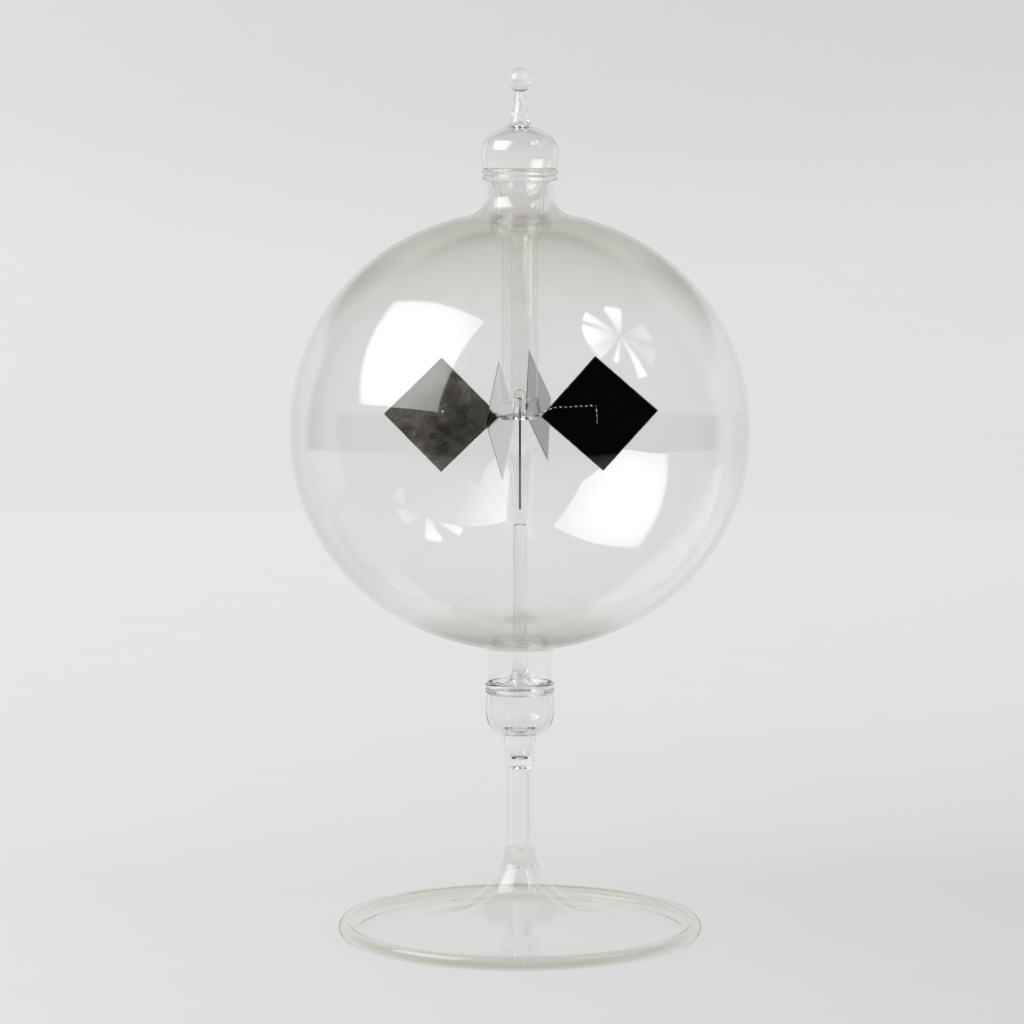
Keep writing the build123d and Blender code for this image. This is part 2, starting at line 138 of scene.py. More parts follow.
def smooth(points, steps=10):
    """Centripetal curve through the given points, with the ends eased straight."""
    knots = [Vector(p) for p in points]
    knots = [2 * knots[0] - knots[1], *knots, 2 * knots[-1] - knots[-2]]
    made = [tuple(knots[1])]
    for a, b, c, d in zip(knots, knots[1:], knots[2:], knots[3:]):
        t1 = max((b - a).length, TINY) ** 0.5
        t2 = t1 + max((c - b).length, TINY) ** 0.5
        t3 = t2 + max((d - c).length, TINY) ** 0.5
        for step in range(1, steps + 1):
            t = t1 + (t2 - t1) * step / steps
            p1 = a * ((t1 - t) / t1) + b * (t / t1)
            p2 = b * ((t2 - t) / (t2 - t1)) + c * ((t - t1) / (t2 - t1))
            p3 = c * ((t3 - t) / (t3 - t2)) + d * ((t - t2) / (t3 - t2))
            q1 = p1 * ((t2 - t) / t2) + p2 * (t / t2)
            q2 = p2 * ((t3 - t) / (t3 - t1)) + p3 * ((t - t1) / (t3 - t1))
            made.append(tuple(q1 * ((t2 - t) / (t2 - t1)) + q2 * ((t - t1) / (t2 - t1))))
    return made


def oval(radius, rise, power, centre, angle):
    """Point of a superellipse, its angle measured from the widest level towards the pole."""
    across = radius * math.cos(angle) ** (2 / power)
    return across, centre + rise * math.sin(angle) ** (2 / power)


def oval_side(radius, rise, power, centre, stop, steps):
    """Points of a superellipse from its widest level to the given radius."""
    low, high = 0.0, math.pi / 2
    for _ in range(50):
        middle = (low + high) / 2
        if oval(radius, rise, power, centre, middle)[0] > stop:
            low = middle
        else:
            high = middle
    return [oval(radius, rise, power, centre, low * step / steps) for step in range(steps + 1)]


def globe_side(radius, rise, power, neck, blend, end, steps=64):
    """Points from the globe's widest level over its shoulder and a rounded blend to the neck's end."""
    sign = math.copysign(1, rise)

    def pushed(angle):
        x, z = oval(radius, rise, power, BULB_CENTRE, angle)
        x2, z2 = oval(radius, rise, power, BULB_CENTRE, angle + 1e-4)
        way = Vector((x2 - x, z2 - z)).normalized()
        return Vector((x, z)) + Vector((way.y, -way.x)) * blend * sign

    low, high = math.pi / 4, math.pi / 2 - 1e-3
    for _ in range(50):
        middle = (low + high) / 2
        if pushed(middle).x > neck + blend:
            low = middle
        else:
            high = middle
    side = [oval(radius, rise, power, BULB_CENTRE, low * step / steps) for step in range(steps + 1)]
    centre = pushed(low)
    touch = Vector(side[-1]) - centre
    start = math.degrees(math.atan2(touch.y, touch.x))
    turn = arc(centre, blend, start % 360, 180, 14)
    return side + turn[1:] + [(neck, end)]


# ---------------------------------------------------------------- turned meshes

def out_of_round(angle, height):
    """How far hand-blown glass strays from a true circle at this place, as a factor on its radius."""
    slow = math.sin(2 * angle + 1.3 + 9 * height) * 0.0016
    return 1 + slow + math.sin(3 * angle + 0.4 - 14 * height) * 0.0008


def true_circle(angle, height):
    return 1.0


def lathe(name, runs, segments=128, shape=out_of_round, seeds=()):
    """Turned piece. The runs are (kind, points), round the outline, with sharp edges between them. A kind
    alone is a flat run between its neighbours. The seeds are air bubbles, as x, y, z and radius."""
    for index, run in enumerate(runs):
        if not isinstance(run, tuple):
            runs[index] = (run, [runs[index - 1][1][-1], runs[(index + 1) % len(runs)][1][0]])
    rings = [runs[0][1][0]]
    kinds = []
    corners = {0}
    for kind, points in runs:
        rings += points[1:]
        kinds += [kind] * (len(points) - 1)
        corners.add(len(rings) - 1)
    closed = math.dist(rings[0], rings[-1]) < TINY
    if closed:
        rings.pop()
        corners = {corner % len(rings) for corner in corners}
    bm = bmesh.new()
    made = []
    for radius, height in rings:
        if radius < TINY:
            made.append([bm.verts.new((0, 0, height))])
            continue
        ring = []
        for step in range(segments):
            angle = 2 * math.pi * step / segments
            reach = radius * shape(angle, height)
            ring.append(bm.verts.new((reach * math.cos(angle), reach * math.sin(angle), height)))
        made.append(ring)
    for band, kind in enumerate(kinds):
        low = made[band]
        high = made[(band + 1) % len(made)]
        for step in range(segments):
            after = (step + 1) % segments
            around = [(low, step), (low, after), (high, after), (high, step)]
            face = bm.faces.new(list(dict.fromkeys(ring[index % len(ring)] for ring, index in around)))
            face.smooth = True
            face.material_index = kind
    for corner in corners:
        ring = made[corner]
        for step in range(len(ring) if len(ring) > 1 else 0):
            edge = bm.edges.get((ring[step], ring[(step + 1) % len(ring)]))
            if edge is not None:
                edge.smooth = False
    bmesh.ops.recalc_face_normals(bm, faces=bm.faces)
    for x, y, z, radius in seeds:
        bubble = bmesh.ops.create_uvsphere(
            bm, u_segments=16, v_segments=10, radius=radius, matrix=Matrix.Translation((x, y, z))
        )
        faces = {face for vert in bubble["verts"] for face in vert.link_faces}
        bmesh.ops.reverse_faces(bm, faces=list(faces))
        for face in faces:
            face.smooth = True
    return finished(name, bm)


def finished(name, bm):
    """Object made of the bmesh, linked into the scene."""
    mesh = bpy.data.meshes.new(name)
    bm.to_mesh(mesh)
    bm.free()
    made = bpy.data.objects.new(name, mesh)
    bpy.context.scene.collection.objects.link(made)
    return made


def install(piece, materials, body, node):
    """Puts a finished piece in the place of its CAD node."""
    for material in materials:
        piece.data.materials.append(material)
    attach(piece, body)
    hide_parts(node)
    return piece


# ---------------------------------------------------------------- shader helpers

def new_material(name):
    """Material with an empty node tree."""
    material = bpy.data.materials.new(name)
    material.use_nodes = True
    material.node_tree.nodes.clear()
    return material, material.node_tree.nodes


def node(nodes, kind, **inputs):
    """Shader node with its inputs set. A name with underscores stands for the socket name with spaces."""
    made = nodes.new("ShaderNode" + kind)
    for key, value in inputs.items():
        made.inputs[key.replace("_", " ")].default_value = value
    return made


def maths(nodes, operation, *operands):
    """Math node. An operand is a number, or the (node, output) that drives it."""
    made = nodes.new("ShaderNodeMath")
    made.operation = operation
    for index, operand in enumerate(operands):
        if isinstance(operand, tuple):
            join(*operand, made, index)
        else:
            made.inputs[index].default_value = operand
    return made


def vector_maths(nodes, operation, second=(0, 0, 0)):
    """Vector math on the piece's own coordinates."""
    made = node(nodes, "VectorMath")
    made.operation = operation
    made.inputs[1].default_value = second
    join(node(nodes, "TexCoord"), "Object", made, 0)
    return made


def join(source, output, target, socket):
    """Links an output of one node to an input of another."""
    source.id_data.links.new(source.outputs[output], target.inputs[socket])


def show(nodes, shader, output="BSDF"):
    """Makes the shader the material's surface."""
    join(shader, output, node(nodes, "OutputMaterial"), "Surface")


def ramp(nodes, stops, source, output):
    """Colour ramp driven by the source, with (position, colour) stops. A single number stands for a grey."""
    made = node(nodes, "ValToRGB")
    elements = made.color_ramp.elements
    stops = [(position, value if isinstance(value, tuple) else (value,) * 3) for position, value in stops]
    elements[0].position, elements[0].color = stops[0][0], (*stops[0][1], 1)
    elements[1].position, elements[1].color = stops[-1][0], (*stops[-1][1], 1)
    for position, colour in stops[1:-1]:
        elements.new(position).color = (*colour, 1)
    join(source, output, made, "Fac")
    return made


def blended(nodes, first, second, kind="MIX"):
    """Node that mixes the colours of two others into its output 2."""
    made = node(nodes, "Mix", Factor=1.0)
    made.data_type = "RGBA"
    made.blend_type = kind
    join(first, "Color", made, 6)
    join(second, "Color", made, 7)
    return made


def mixed(nodes, share, output, first, second):
    """Mix of two shaders, by a share from 0 to 1."""
    made = node(nodes, "MixShader")
    join(share, output, made, "Fac")
    join(first, "BSDF", made, 1)
    join(second, "BSDF", made, 2)
    return made


def noise(nodes, scale, detail=2.0, stretch=(1, 1, 1), turn=(0, 0, 0), **more):
    """Noise over the piece's own coordinates, which may be turned and stretched first."""
    made = node(nodes, "TexNoise", Scale=scale, Detail=detail, **more)
    mapping = node(nodes, "Mapping", Rotation=turn, Scale=stretch)
    join(node(nodes, "TexCoord"), "Object", mapping, "Vector")
    join(mapping, "Vector", made, "Vector")
    return made


def ranged(nodes, source, output, **span):
    """Map range of the source."""
    made = node(nodes, "MapRange", **span)
    join(source, output, made, "Value")
    return made


def bumped(nodes, source, strength, distance, shader):
    """Raises and lowers the shader's surface by a texture."""
    bump = node(nodes, "Bump", Strength=strength, Distance=distance)
    join(source, "Fac", bump, "Height")
    join(bump, "Normal", shader, "Normal")


def glass_material(name, clear, tinted, shade, wave_scale, wave_depth, edge, edge_shade_start=0.6):
    """Clear glass that lets lamps through. Its tint drifts a little, and painted shade darkens its colour
    towards the edge colour where the view runs along its surface, standing in for the dark outlines that bent
    light shows. The surface carries faint drawn waves."""
    material, nodes = new_material(name)
    glass = node(nodes, "BsdfPrincipled", Roughness=0.0, IOR=GLASS_IOR, Transmission_Weight=1.0)
    drift = noise(nodes, wave_scale * 0.4, stretch=SOLID_STRETCH, Roughness=0.5)
    waves = noise(nodes, wave_scale, 3.0, stretch=SOLID_STRETCH, Roughness=0.45, Distortion=0.6)
    tint = ramp(nodes, [(0.35, clear), (0.7, tinted)], drift, "Fac")
    # Painted shade: the colour darkens to the edge colour as the view runs along the surface.
    halfway = tuple((1 + part) / 2 for part in edge)
    stops = [(edge_shade_start, 1.0), ((edge_shade_start + 1) / 2, halfway), (1.0, edge)]
    outline = ramp(nodes, stops, node(nodes, "LayerWeight", Blend=0.5), "Facing")
    join(blended(nodes, tint, outline, "MULTIPLY"), 2, glass, "Base Color")
    bumped(nodes, waves, 1.0, wave_depth, glass)
    shadow = node(nodes, "BsdfTransparent", Color=(*shade, 1))
    show(nodes, mixed(nodes, node(nodes, "LightPath"), "Is Shadow Ray", glass, shadow), "Shader")
    return material


# How the drawn waves are stretched along the axis
SOLID_STRETCH = (1.0, 1.0, 2.6)
THIN_STRETCH = (1.0, 1.0, 2.2)
# What a thin wall lets through, from a view straight at it to one along it. The darkening in these tables is
# painted shade for the dark edges that bent light shows.
CLEAR_WALL = [
    (0.0, (0.999, 0.999, 0.998)),
    (0.75, (0.995, 0.995, 0.992)),
    (0.9, (0.985, 0.985, 0.98)),
    (1.0, (0.87, 0.87, 0.86)),
]
GATHERED_AND_SHADED_WALL = [
    (0.0, (0.945, 0.945, 0.925)),
    (0.5, (0.925, 0.922, 0.895)),
    (0.8, (0.76, 0.745, 0.685)),
    (1.0, (0.43, 0.405, 0.34)),
]
TUBE_WALL = [
    (0.0, (0.996, 0.996, 0.992)),
    (0.75, (0.985, 0.985, 0.975)),
    (0.92, (0.55, 0.55, 0.53)),
    (1.0, (0.2, 0.2, 0.19)),
]
DISC_WALL = [
    (0.0, (0.998, 0.998, 0.994)),
    (0.84, (0.997, 0.997, 0.991)),
    (0.95, (0.955, 0.955, 0.945)),
    (1.0, (0.78, 0.78, 0.76)),
]
NECK_WALL = [
    (0.0, (0.985, 0.985, 0.97)),
    (0.6, (0.965, 0.965, 0.945)),
    (0.85, (0.84, 0.84, 0.80)),
    (0.94, (0.45, 0.45, 0.42)),
    (1.0, (0.12, 0.12, 0.11)),
]
# Painted shade on the foot's rim: olive-grey where it is seen straight on, clear between, and dark at its
# edge.
RIM_WALL = [
    (0.0, (0.80, 0.79, 0.73)),
    (0.35, (0.84, 0.83, 0.78)),
    (0.62, (0.965, 0.965, 0.94)),
    (0.84, (0.975, 0.975, 0.96)),
    (0.90, (0.66, 0.66, 0.62)),
    (0.95, (0.32, 0.32, 0.29)),
    (1.0, (0.1, 0.1, 0.09)),
]
# Heights, in metres, and how far the globe's wall takes the darker band there: thicker gathered glass, with
# painted shade at the top and bottom of the globe
GATHERED_AND_SHADED_BANDS = [
    (0.0797, 0.0),
    (0.0803, 1.0),
    (0.084, 0.9),
    (0.088, 0.0),
    (0.168, 0.0),
    (0.190, 0.54),
    (0.1985, 0.7),
    (0.2012, 0.3),
    (0.204, 0.0),
]


def thin_glass_material(name, wall_tints, wave_depth, gathered_and_shaded=False, edge_mirror=1 - NORMAL_MIRROR):
    """Glass wall too thin to bend a view. Painted shade darkens its colour where the view runs along it, for
    the dark edges that bent light shows. The shade is strongest in the bands at the top and bottom of the
    globe, where the glass is thicker and more painted shade is added. It mirrors more towards its edge, as
    glass does."""
    material, nodes = new_material(name)
    facing = node(nodes, "LayerWeight", Blend=0.5)
    wall = ramp(nodes, wall_tints, facing, "Facing")
    clear = node(nodes, "BsdfTransparent")
    # Painted shade, on thicker glass: darker bands at the top and bottom of the globe.
    if gathered_and_shaded:
        top = FINIAL_HIGH.z
        split = node(nodes, "SeparateXYZ")
        join(node(nodes, "TexCoord"), "Object", split, "Vector")
        height = maths(nodes, "DIVIDE", (split, "Z"), top)
        share = ramp(nodes, [(level / top, amount) for level, amount in GATHERED_AND_SHADED_BANDS], height, "Value")
        both = blended(nodes, wall, ramp(nodes, GATHERED_AND_SHADED_WALL, facing, "Facing"))
        join(share, "Color", both, "Factor")
        join(both, 2, clear, "Color")
    else:
        join(wall, "Color", clear, "Color")
    steep = maths(nodes, "POWER", (facing, "Facing"), 5.0)
    mirrored = maths(nodes, "MULTIPLY_ADD", (steep, "Value"), edge_mirror, NORMAL_MIRROR)
    waves = noise(nodes, 42.0, 3.0, stretch=THIN_STRETCH, Roughness=0.45, Distortion=0.6)
    mirror = node(nodes, "BsdfGlossy", Color=(1, 1, 1, 1), Roughness=0.0)
    bumped(nodes, waves, 1.0, wave_depth, mirror)
    show(nodes, mixed(nodes, mirrored, "Value", clear, mirror), "Shader")
    return material


def joint_material():
    """Where two pieces of glass are melted together there is no surface to see."""
    material, nodes = new_material("melted_joint")
    show(nodes, node(nodes, "BsdfPrincipled", Alpha=0.0, Roughness=0.0, IOR=GLASS_IOR))
    return material


# ---------------------------------------------------------------- vessel pieces

def bulb_side(up, inset):
    """Half of the bulb's outline, from its widest level to the end of a neck, set in by the given depth."""
    side = BULB_HIGH.x - inset
    if up:
        neck, blend = UPPER_NECK - inset, UPPER_BLEND + inset
        return globe_side(side, BULB_RISE - inset, BULB_FULLNESS, neck, blend, BULB_HIGH.z)
    return globe_side(side, inset - BULB_DROP, 2, LOWER_NECK - inset, LOWER_BLEND + inset, BULB_LOW.z)


def bulb_piece():
    outer_up, outer_down = bulb_side(True, 0), bulb_side(False, 0)
    inner_up, inner_down = bulb_side(True, BULB_WALL), bulb_side(False, BULB_WALL)
    return lathe(
        "glass_bulb",
        [
            (SKIN, outer_down[::-1] + outer_up[1:]),
            JOINT,
            (SKIN, inner_up[::-1] + inner_down[1:]),
            JOINT,
        ],
        segments=256,
    )


def rolled_bead(low, high):
    """Outside of a fused bead: two rounded rolls, one on the other."""
    roll = (high.z - low.z) / 4
    crest = high.x - roll
    lower_roll = arc((crest, low.z + roll), roll, -90, 62, 14)
    upper_roll = arc((crest, high.z - roll), roll, -62, 90, 14)
    return lower_roll + [(crest + roll * 0.42, (low.z + high.z) / 2)] + upper_roll


def upper_seal_piece():
    """Bead between the bulb's upper neck and the top chamber."""
    low, high = UPPER_SEAL_LOW, UPPER_SEAL_HIGH
    mouth_in = TOP_CHAMBER_MOUTH - CHAMBER_WALL
    waist = (UPPER_BORE + 1.0 * MM, (low.z + 3 * high.z) / 4)
    return lathe(
        "glass_upper_ring_seal",
        [
            (SKIN, [(UPPER_NECK, low.z)] + rolled_bead(low, high) + [(TOP_CHAMBER_MOUTH, high.z)]),
            JOINT,
            (SKIN, smooth([(mouth_in, high.z), waist, (UPPER_BORE, low.z)], 8)),
            JOINT,
        ],
    )


def chamber_side(chamber, inset, stop):
    """Outline of a chamber set in by the given depth, from its mouth to the stop radius near its pole."""
    mouth, mouth_height, side, rise, power, centre = chamber
    mouth, side, rise = mouth - inset, side - inset, rise - math.copysign(inset, rise)
    waist = ((mouth + side) / 2 + (side - mouth) * 0.3, (mouth_height + centre) / 2)
    belly = smooth([(mouth, mouth_height), waist, (side, centre)], 6)
    return belly + oval_side(side, rise, power, centre, stop, 40)[1:]


def top_chamber_piece():
    skin = chamber_side(TOP_CHAMBER, 0, TIP_BASE)
    lining = chamber_side(TOP_CHAMBER, CHAMBER_WALL, TIP_BORE)
    under_tip = tip_seat()
    return lathe(
        "glass_top_chamber",
        [
            (SKIN, skin),
            (JOINT, [skin[-1]] + under_tip[1:]),
            (SKIN, [under_tip[-1], lining[-1]]),
            (SKIN, lining[::-1]),
            JOINT,
        ],
    )


def tip_seat():
    """Top of the chamber under the pumping tip, from the tip's base in to its bore."""
    dome = TOP_CHAMBER[2:]
    start = oval_side(*dome, TIP_BASE, 4)[-1]
    return [start] + [p for p in oval_side(*dome, TIP_BORE, 80) if p[0] < TIP_BASE - 0.1 * MM]


def finial_cap():
    """The ball's underside where the stalk runs into it, from the stalk's skin to the axis."""
    radius = FINIAL_HIGH.x
    centre = (0, FINIAL_HIGH.z - radius)
    start = -math.degrees(math.acos(TIP_NECK / radius))
    points = arc(centre, radius, start, -90, 6)
    return points[:-1] + [(0, points[-1][1])]


def tip_piece():
    seat = tip_seat()
    cap = finial_cap()
    base = seat[0][1]
    stalk = smooth(
        [
            seat[0],
            (TIP_STALK + 0.45 * MM, base + 0.9 * MM),
            (TIP_STALK, base + 2.9 * MM),
            (TIP_STALK - 0.55 * MM, base + 6.0 * MM),
            cap[0],
        ]
    )
    hollow = smooth(
        [
            (TIP_BORE, seat[-1][1]),
            (TIP_BORE * 0.95, base + 3.6 * MM),
            (0.55 * MM, base + 6.0 * MM),
            (0, base + 7.2 * MM),
        ],
        8,
    )
    return lathe(
        "glass_evacuation_tip",
        [(SKIN, hollow[::-1]), (JOINT, seat[::-1]), (SKIN, stalk), (JOINT, cap)],
        segments=96,
    )


def finial_piece():
    radius = FINIAL_HIGH.x
    centre = (0, FINIAL_HIGH.z - radius)
    cap = finial_cap()
    start = -math.degrees(math.acos(TIP_NECK / radius))
    skin = arc(centre, radius, start, 90, 40)
    skin[-1] = (0, skin[-1][1])
    return lathe("glass_finial_ball", [(JOINT, cap[::-1]), (SKIN, skin)], segments=96)


def guard_piece():
    neck = UPPER_NECK - BULB_WALL
    top = GUARD_HIGH.z
    outer = smooth(
        [
            (GUARD_RADIUS, GUARD_SHOULDER),
            (GUARD_RADIUS + 0.45 * MM, GUARD_SHOULDER + 1.0 * MM),
            (GUARD_FUNNEL, GUARD_SHOULDER + 2.8 * MM),
            (GUARD_FUNNEL + 0.5 * MM, top - 3.2 * MM),
            (GUARD_FUNNEL + 1.1 * MM, top - 1.0 * MM),
            (neck, top),
        ]
    )
    inside = GUARD_FUNNEL - GUARD_FUNNEL_WALL
    inner = smooth(
        [
            (GUARD_BORE, GUARD_SHOULDER),
            (GUARD_BORE + 0.5 * MM, GUARD_SHOULDER + 1.4 * MM),
            (inside - 0.2 * MM, GUARD_SHOULDER + 3.8 * MM),
            (inside + 0.5 * MM, top - 3.2 * MM),
            (UPPER_BORE, top),
        ]
    )
    lip_height = GUARD_LOW.z + GUARD_LIP
    outer_lip = arc((GUARD_RADIUS - GUARD_LIP, lip_height), GUARD_LIP, 0, -90, 8)
    inner_lip = arc((GUARD_BORE + GUARD_LIP, lip_height), GUARD_LIP, -90, -180, 8)
    return lathe(
        "glass_guard_tube",
        [
            (JOINT, [(UPPER_BORE, top), (neck, top)]),
            (SKIN, outer[::-1] + outer_lip + inner_lip + inner),
        ],
        segments=96,
    )


def flare_piece():
    """Trumpet from the rod out to the lower ring seal."""
    joint_high, bottom = LOWER_SEAL_HIGH.z - FLARE_JOINT_DROP, FLARE_LOW.z
    skin = smooth(
        [
            (ROD_RADIUS + 0.25 * MM, FLARE_HIGH.z),
            (ROD_RADIUS + 0.55 * MM, FLARE_HIGH.z - 2.2 * MM),
            (ROD_RADIUS + 1.6 * MM, LOWER_SEAL_HIGH.z + 0.6 * MM),
            (LOWER_BORE - 1.6 * MM, joint_high + 0.35 * MM),
            (LOWER_BORE, joint_high),
        ]
    )
    underside = smooth(
        [
            (LOWER_BORE, bottom + FLARE_LIP),
            (ROD_RADIUS + 1.3 * MM, bottom + 1.2 * MM),
            (ROD_RADIUS, bottom + FLARE_CROWN),
        ]
    )
    return lathe(
        "glass_support_flare",
        [
            (SKIN, skin),
            JOINT,
            (SKIN, underside),
            JOINT,
            (SKIN, [(ROD_RADIUS, FLARE_HIGH.z), skin[0]]),
        ],
        segments=96,
    )


def lower_seal_piece():
    """Bead between the lower chamber and the bulb's lower neck, with the support's flare on its bore."""
    low, high = LOWER_SEAL_LOW, LOWER_SEAL_HIGH
    neck_in = LOWER_NECK - BULB_WALL
    mouth_in = LOWER_CHAMBER_MOUTH - CHAMBER_WALL
    joint_high, joint_low = high.z - FLARE_JOINT_DROP, FLARE_LOW.z + FLARE_LIP
    throat = [(neck_in, high.z), (LOWER_BORE + 0.15 * MM, high.z - 0.9 * MM), (LOWER_BORE, joint_high)]
    return lathe(
        "glass_lower_ring_seal",
        [
            (SKIN, [(LOWER_CHAMBER_MOUTH, low.z)] + rolled_bead(low, high) + [(LOWER_NECK, high.z)]),
            JOINT,
            (SKIN, smooth(throat, 6)),
            JOINT,
            (SKIN, [(LOWER_BORE, joint_low), (LOWER_BORE, low.z), (mouth_in, low.z)]),
            JOINT,
        ],
    )


def rod_piece():
    """Solid rod with a melted button at its foot, rounded off just below the needle's sleeve."""
    flare_foot = FLARE_LOW.z + FLARE_CROWN
    button, low = ROD_HIGH.x, ROD_LOW.z
    rounding = 0.5 * MM
    end = SLEEVE_LOW.z - 0.05 * MM - rounding
    skirt = smooth(
        [
            (0, low),
            (button * 0.62, low + 0.08 * MM),
            (button, low + 0.8 * MM),
            (button * 0.84, low + 1.5 * MM),
            (ROD_RADIUS, low + 2.1 * MM),
            (ROD_RADIUS, flare_foot),
        ]
    )
    cap = arc((ROD_RADIUS - rounding, end), rounding, 0, 90, 6)
    return lathe(
        "glass_support_rod",
        [
            (SKIN, skirt),
            JOINT,
            (SKIN, [(ROD_RADIUS, FLARE_HIGH.z)] + cap + [(0, end + rounding)]),
        ],
        segments=64,
    )


def sleeve_piece():
    """Slim open funnel on the rod's end, with the needle melted into its throat."""
    low, high = SLEEVE_LOW.z, SLEEVE_HIGH.z
    mouth = SLEEVE_HIGH.x
    lip = SLEEVE_WALL / 2
    flank = smooth([(ROD_RADIUS, low), (ROD_RADIUS + 0.28 * MM, low + 7 * MM), (mouth, high - lip)])
    rim = arc((mouth - lip, high - lip), lip, 0, 180, 8)
    lining = smooth(
        [
            (mouth - 2 * lip, high - lip),
            (NEEDLE_RADIUS + 1.05 * MM, SLEEVE_SOCKET + 5.5 * MM),
            (NEEDLE_RADIUS + 0.4 * MM, SLEEVE_SOCKET + 1.6 * MM),
            (NEEDLE_RADIUS, SLEEVE_SOCKET),
        ]
    )
    return lathe(
        "glass_needle_sleeve",
        [
            (JOINT, [(0, low), (ROD_RADIUS, low)]),
            (SKIN, flank + rim[1:] + lining[1:]),
            (JOINT, [lining[-1], (NEEDLE_RADIUS, NEEDLE_LOW.z), (0, NEEDLE_LOW.z)]),
        ],
        segments=64,
    )


def needle_piece():
    """Sewing needle: blunt ground end, round shaft and a long point."""
    low, high = NEEDLE_LOW.z, NEEDLE_HIGH.z
    shaft_top = high - NEEDLE_POINT
    shaft = NEEDLE_RADIUS - 0.01 * MM
    outline = [(0, low), (shaft * 0.8, low), (shaft, low + 0.1 * MM), (shaft, shaft_top)]
    halfway = (shaft * 0.66, shaft_top + NEEDLE_POINT * 0.5)
    point = smooth([(shaft, shaft_top), halfway, (NEEDLE_TIP_RADIUS, high - 0.05 * MM)], 8)
    runs = [(SKIN, outline), (SKIN, point + [(0, high)])]
    return lathe("steel_needle", runs, segments=40, shape=true_circle)


def lower_chamber_piece():
    base, low = COLLAR_HIGH.x, LOWER_CHAMBER_LOW.z
    skin = chamber_side(LOWER_CHAMBER, 0, base)
    lining = chamber_side(LOWER_CHAMBER, CHAMBER_WALL, STEM_BORE)
    skin[-1] = (base, low)
    return lathe(
        "glass_lower_chamber",
        [
            (SKIN, lining + [(STEM_BORE, low + 0.1 * MM), (COLLAR_MOUTH, low)]),
            JOINT,
            (SKIN, skin[::-1]),
            JOINT,
        ],
    )


def collar_piece():
    """Tapered joint with a hollow that ends in a web above the stem."""
    low, high = COLLAR_LOW.z, COLLAR_HIGH.z
    web = low + 2.4 * MM
    stem = STEM_HIGH.x
    skin = smooth(
        [
            (stem, low),
            (stem + 0.12 * MM, low + 1.7 * MM),
            (stem + 0.35 * MM, low + 3.4 * MM),
            (stem + 0.72 * MM, low + 6.6 * MM),
            (COLLAR_HIGH.x, high),
        ]
    )
    hollow = smooth(
        [
            (0, web),
            (STEM_BORE - 0.5 * MM, web + 0.4 * MM),
            (STEM_BORE + 0.3 * MM, web + 1.8 * MM),
            (COLLAR_MOUTH - 0.1 * MM, high - 2.5 * MM),
            (COLLAR_MOUTH, high),
        ]
    )
    return lathe(
        "glass_stem_collar",
        [
            (SKIN, hollow),
            JOINT,
            (SKIN, skin[::-1]),
            JOINT,
            (SKIN, smooth([(STEM_BORE, low), (STEM_BORE * 0.62, low + 0.6 * MM), (0, low + 0.8 * MM)], 6)),
        ],
        segments=96,
    )


def stem_piece():
    low, high = STEM_LOW.z, STEM_HIGH.z
    radius = STEM_HIGH.x
    levels = 12
    outer = [(radius, low + (high - low) * step / levels) for step in range(levels + 1)]
    inner = [(STEM_BORE, height) for _, height in outer]
    return lathe("glass_stem_tube", [(SKIN, outer), JOINT, (SKIN, inner[::-1]), JOINT], segments=96)


def foot_neck_piece():
    """Solid gather of glass between the stem and the foot."""
    low, high = NECK_LOW.z, NECK_HIGH.z
    stem = STEM_HIGH.x
    draw = random.Random(5)
    seeds = []
    for step in range(9):
        angle = math.radians(40 * step + draw.uniform(-9, 9))
        reach = draw.uniform(2.6, 3.3) * MM
        level = low + draw.uniform(0.5, 0.95) * MM
        seeds.append((reach * math.cos(angle), reach * math.sin(angle), level, draw.uniform(0.24, 0.42) * MM))
    skin = smooth(
        [
            (FOOT_NECK_RADIUS, low),
            (stem + 1.25 * MM, low + 1.6 * MM),
            (stem + 0.75 * MM, high - 2.6 * MM),
            (stem + 0.45 * MM, high - 0.9 * MM),
            (stem + 0.3 * MM, high - 0.25 * MM),
            (stem, high),
        ]
    )
    return lathe(
        "glass_foot_neck",
        [
            (JOINT, [(0, low), (FOOT_NECK_RADIUS, low)]),
            (RIM, skin),
            JOINT,
            (RIM, smooth([(STEM_BORE, high), (STEM_BORE * 0.62, high - 0.6 * MM), (0, high - 0.8 * MM)], 6)),
        ],
        segments=96,
        seeds=seeds,
    )


def tooling_rings():
    """Rings that the tool left on the foot's top near its rim: a wave that fades in and out."""
    points = []
    for step in range(1, RING_STEPS + 1):
        share = step / RING_STEPS
        across = RINGS_INSIDE + (RINGS_OUTSIDE - RINGS_INSIDE) * share
        strength = RING_DEPTH * min(1.0, share * 3) * min(1.0, (1 - share) * 6)
        level = DISC_LEVEL - DISC_SLOPE * share
        points.append((across, level + strength * math.cos(2 * math.pi * RING_COUNT * share)))
    return points


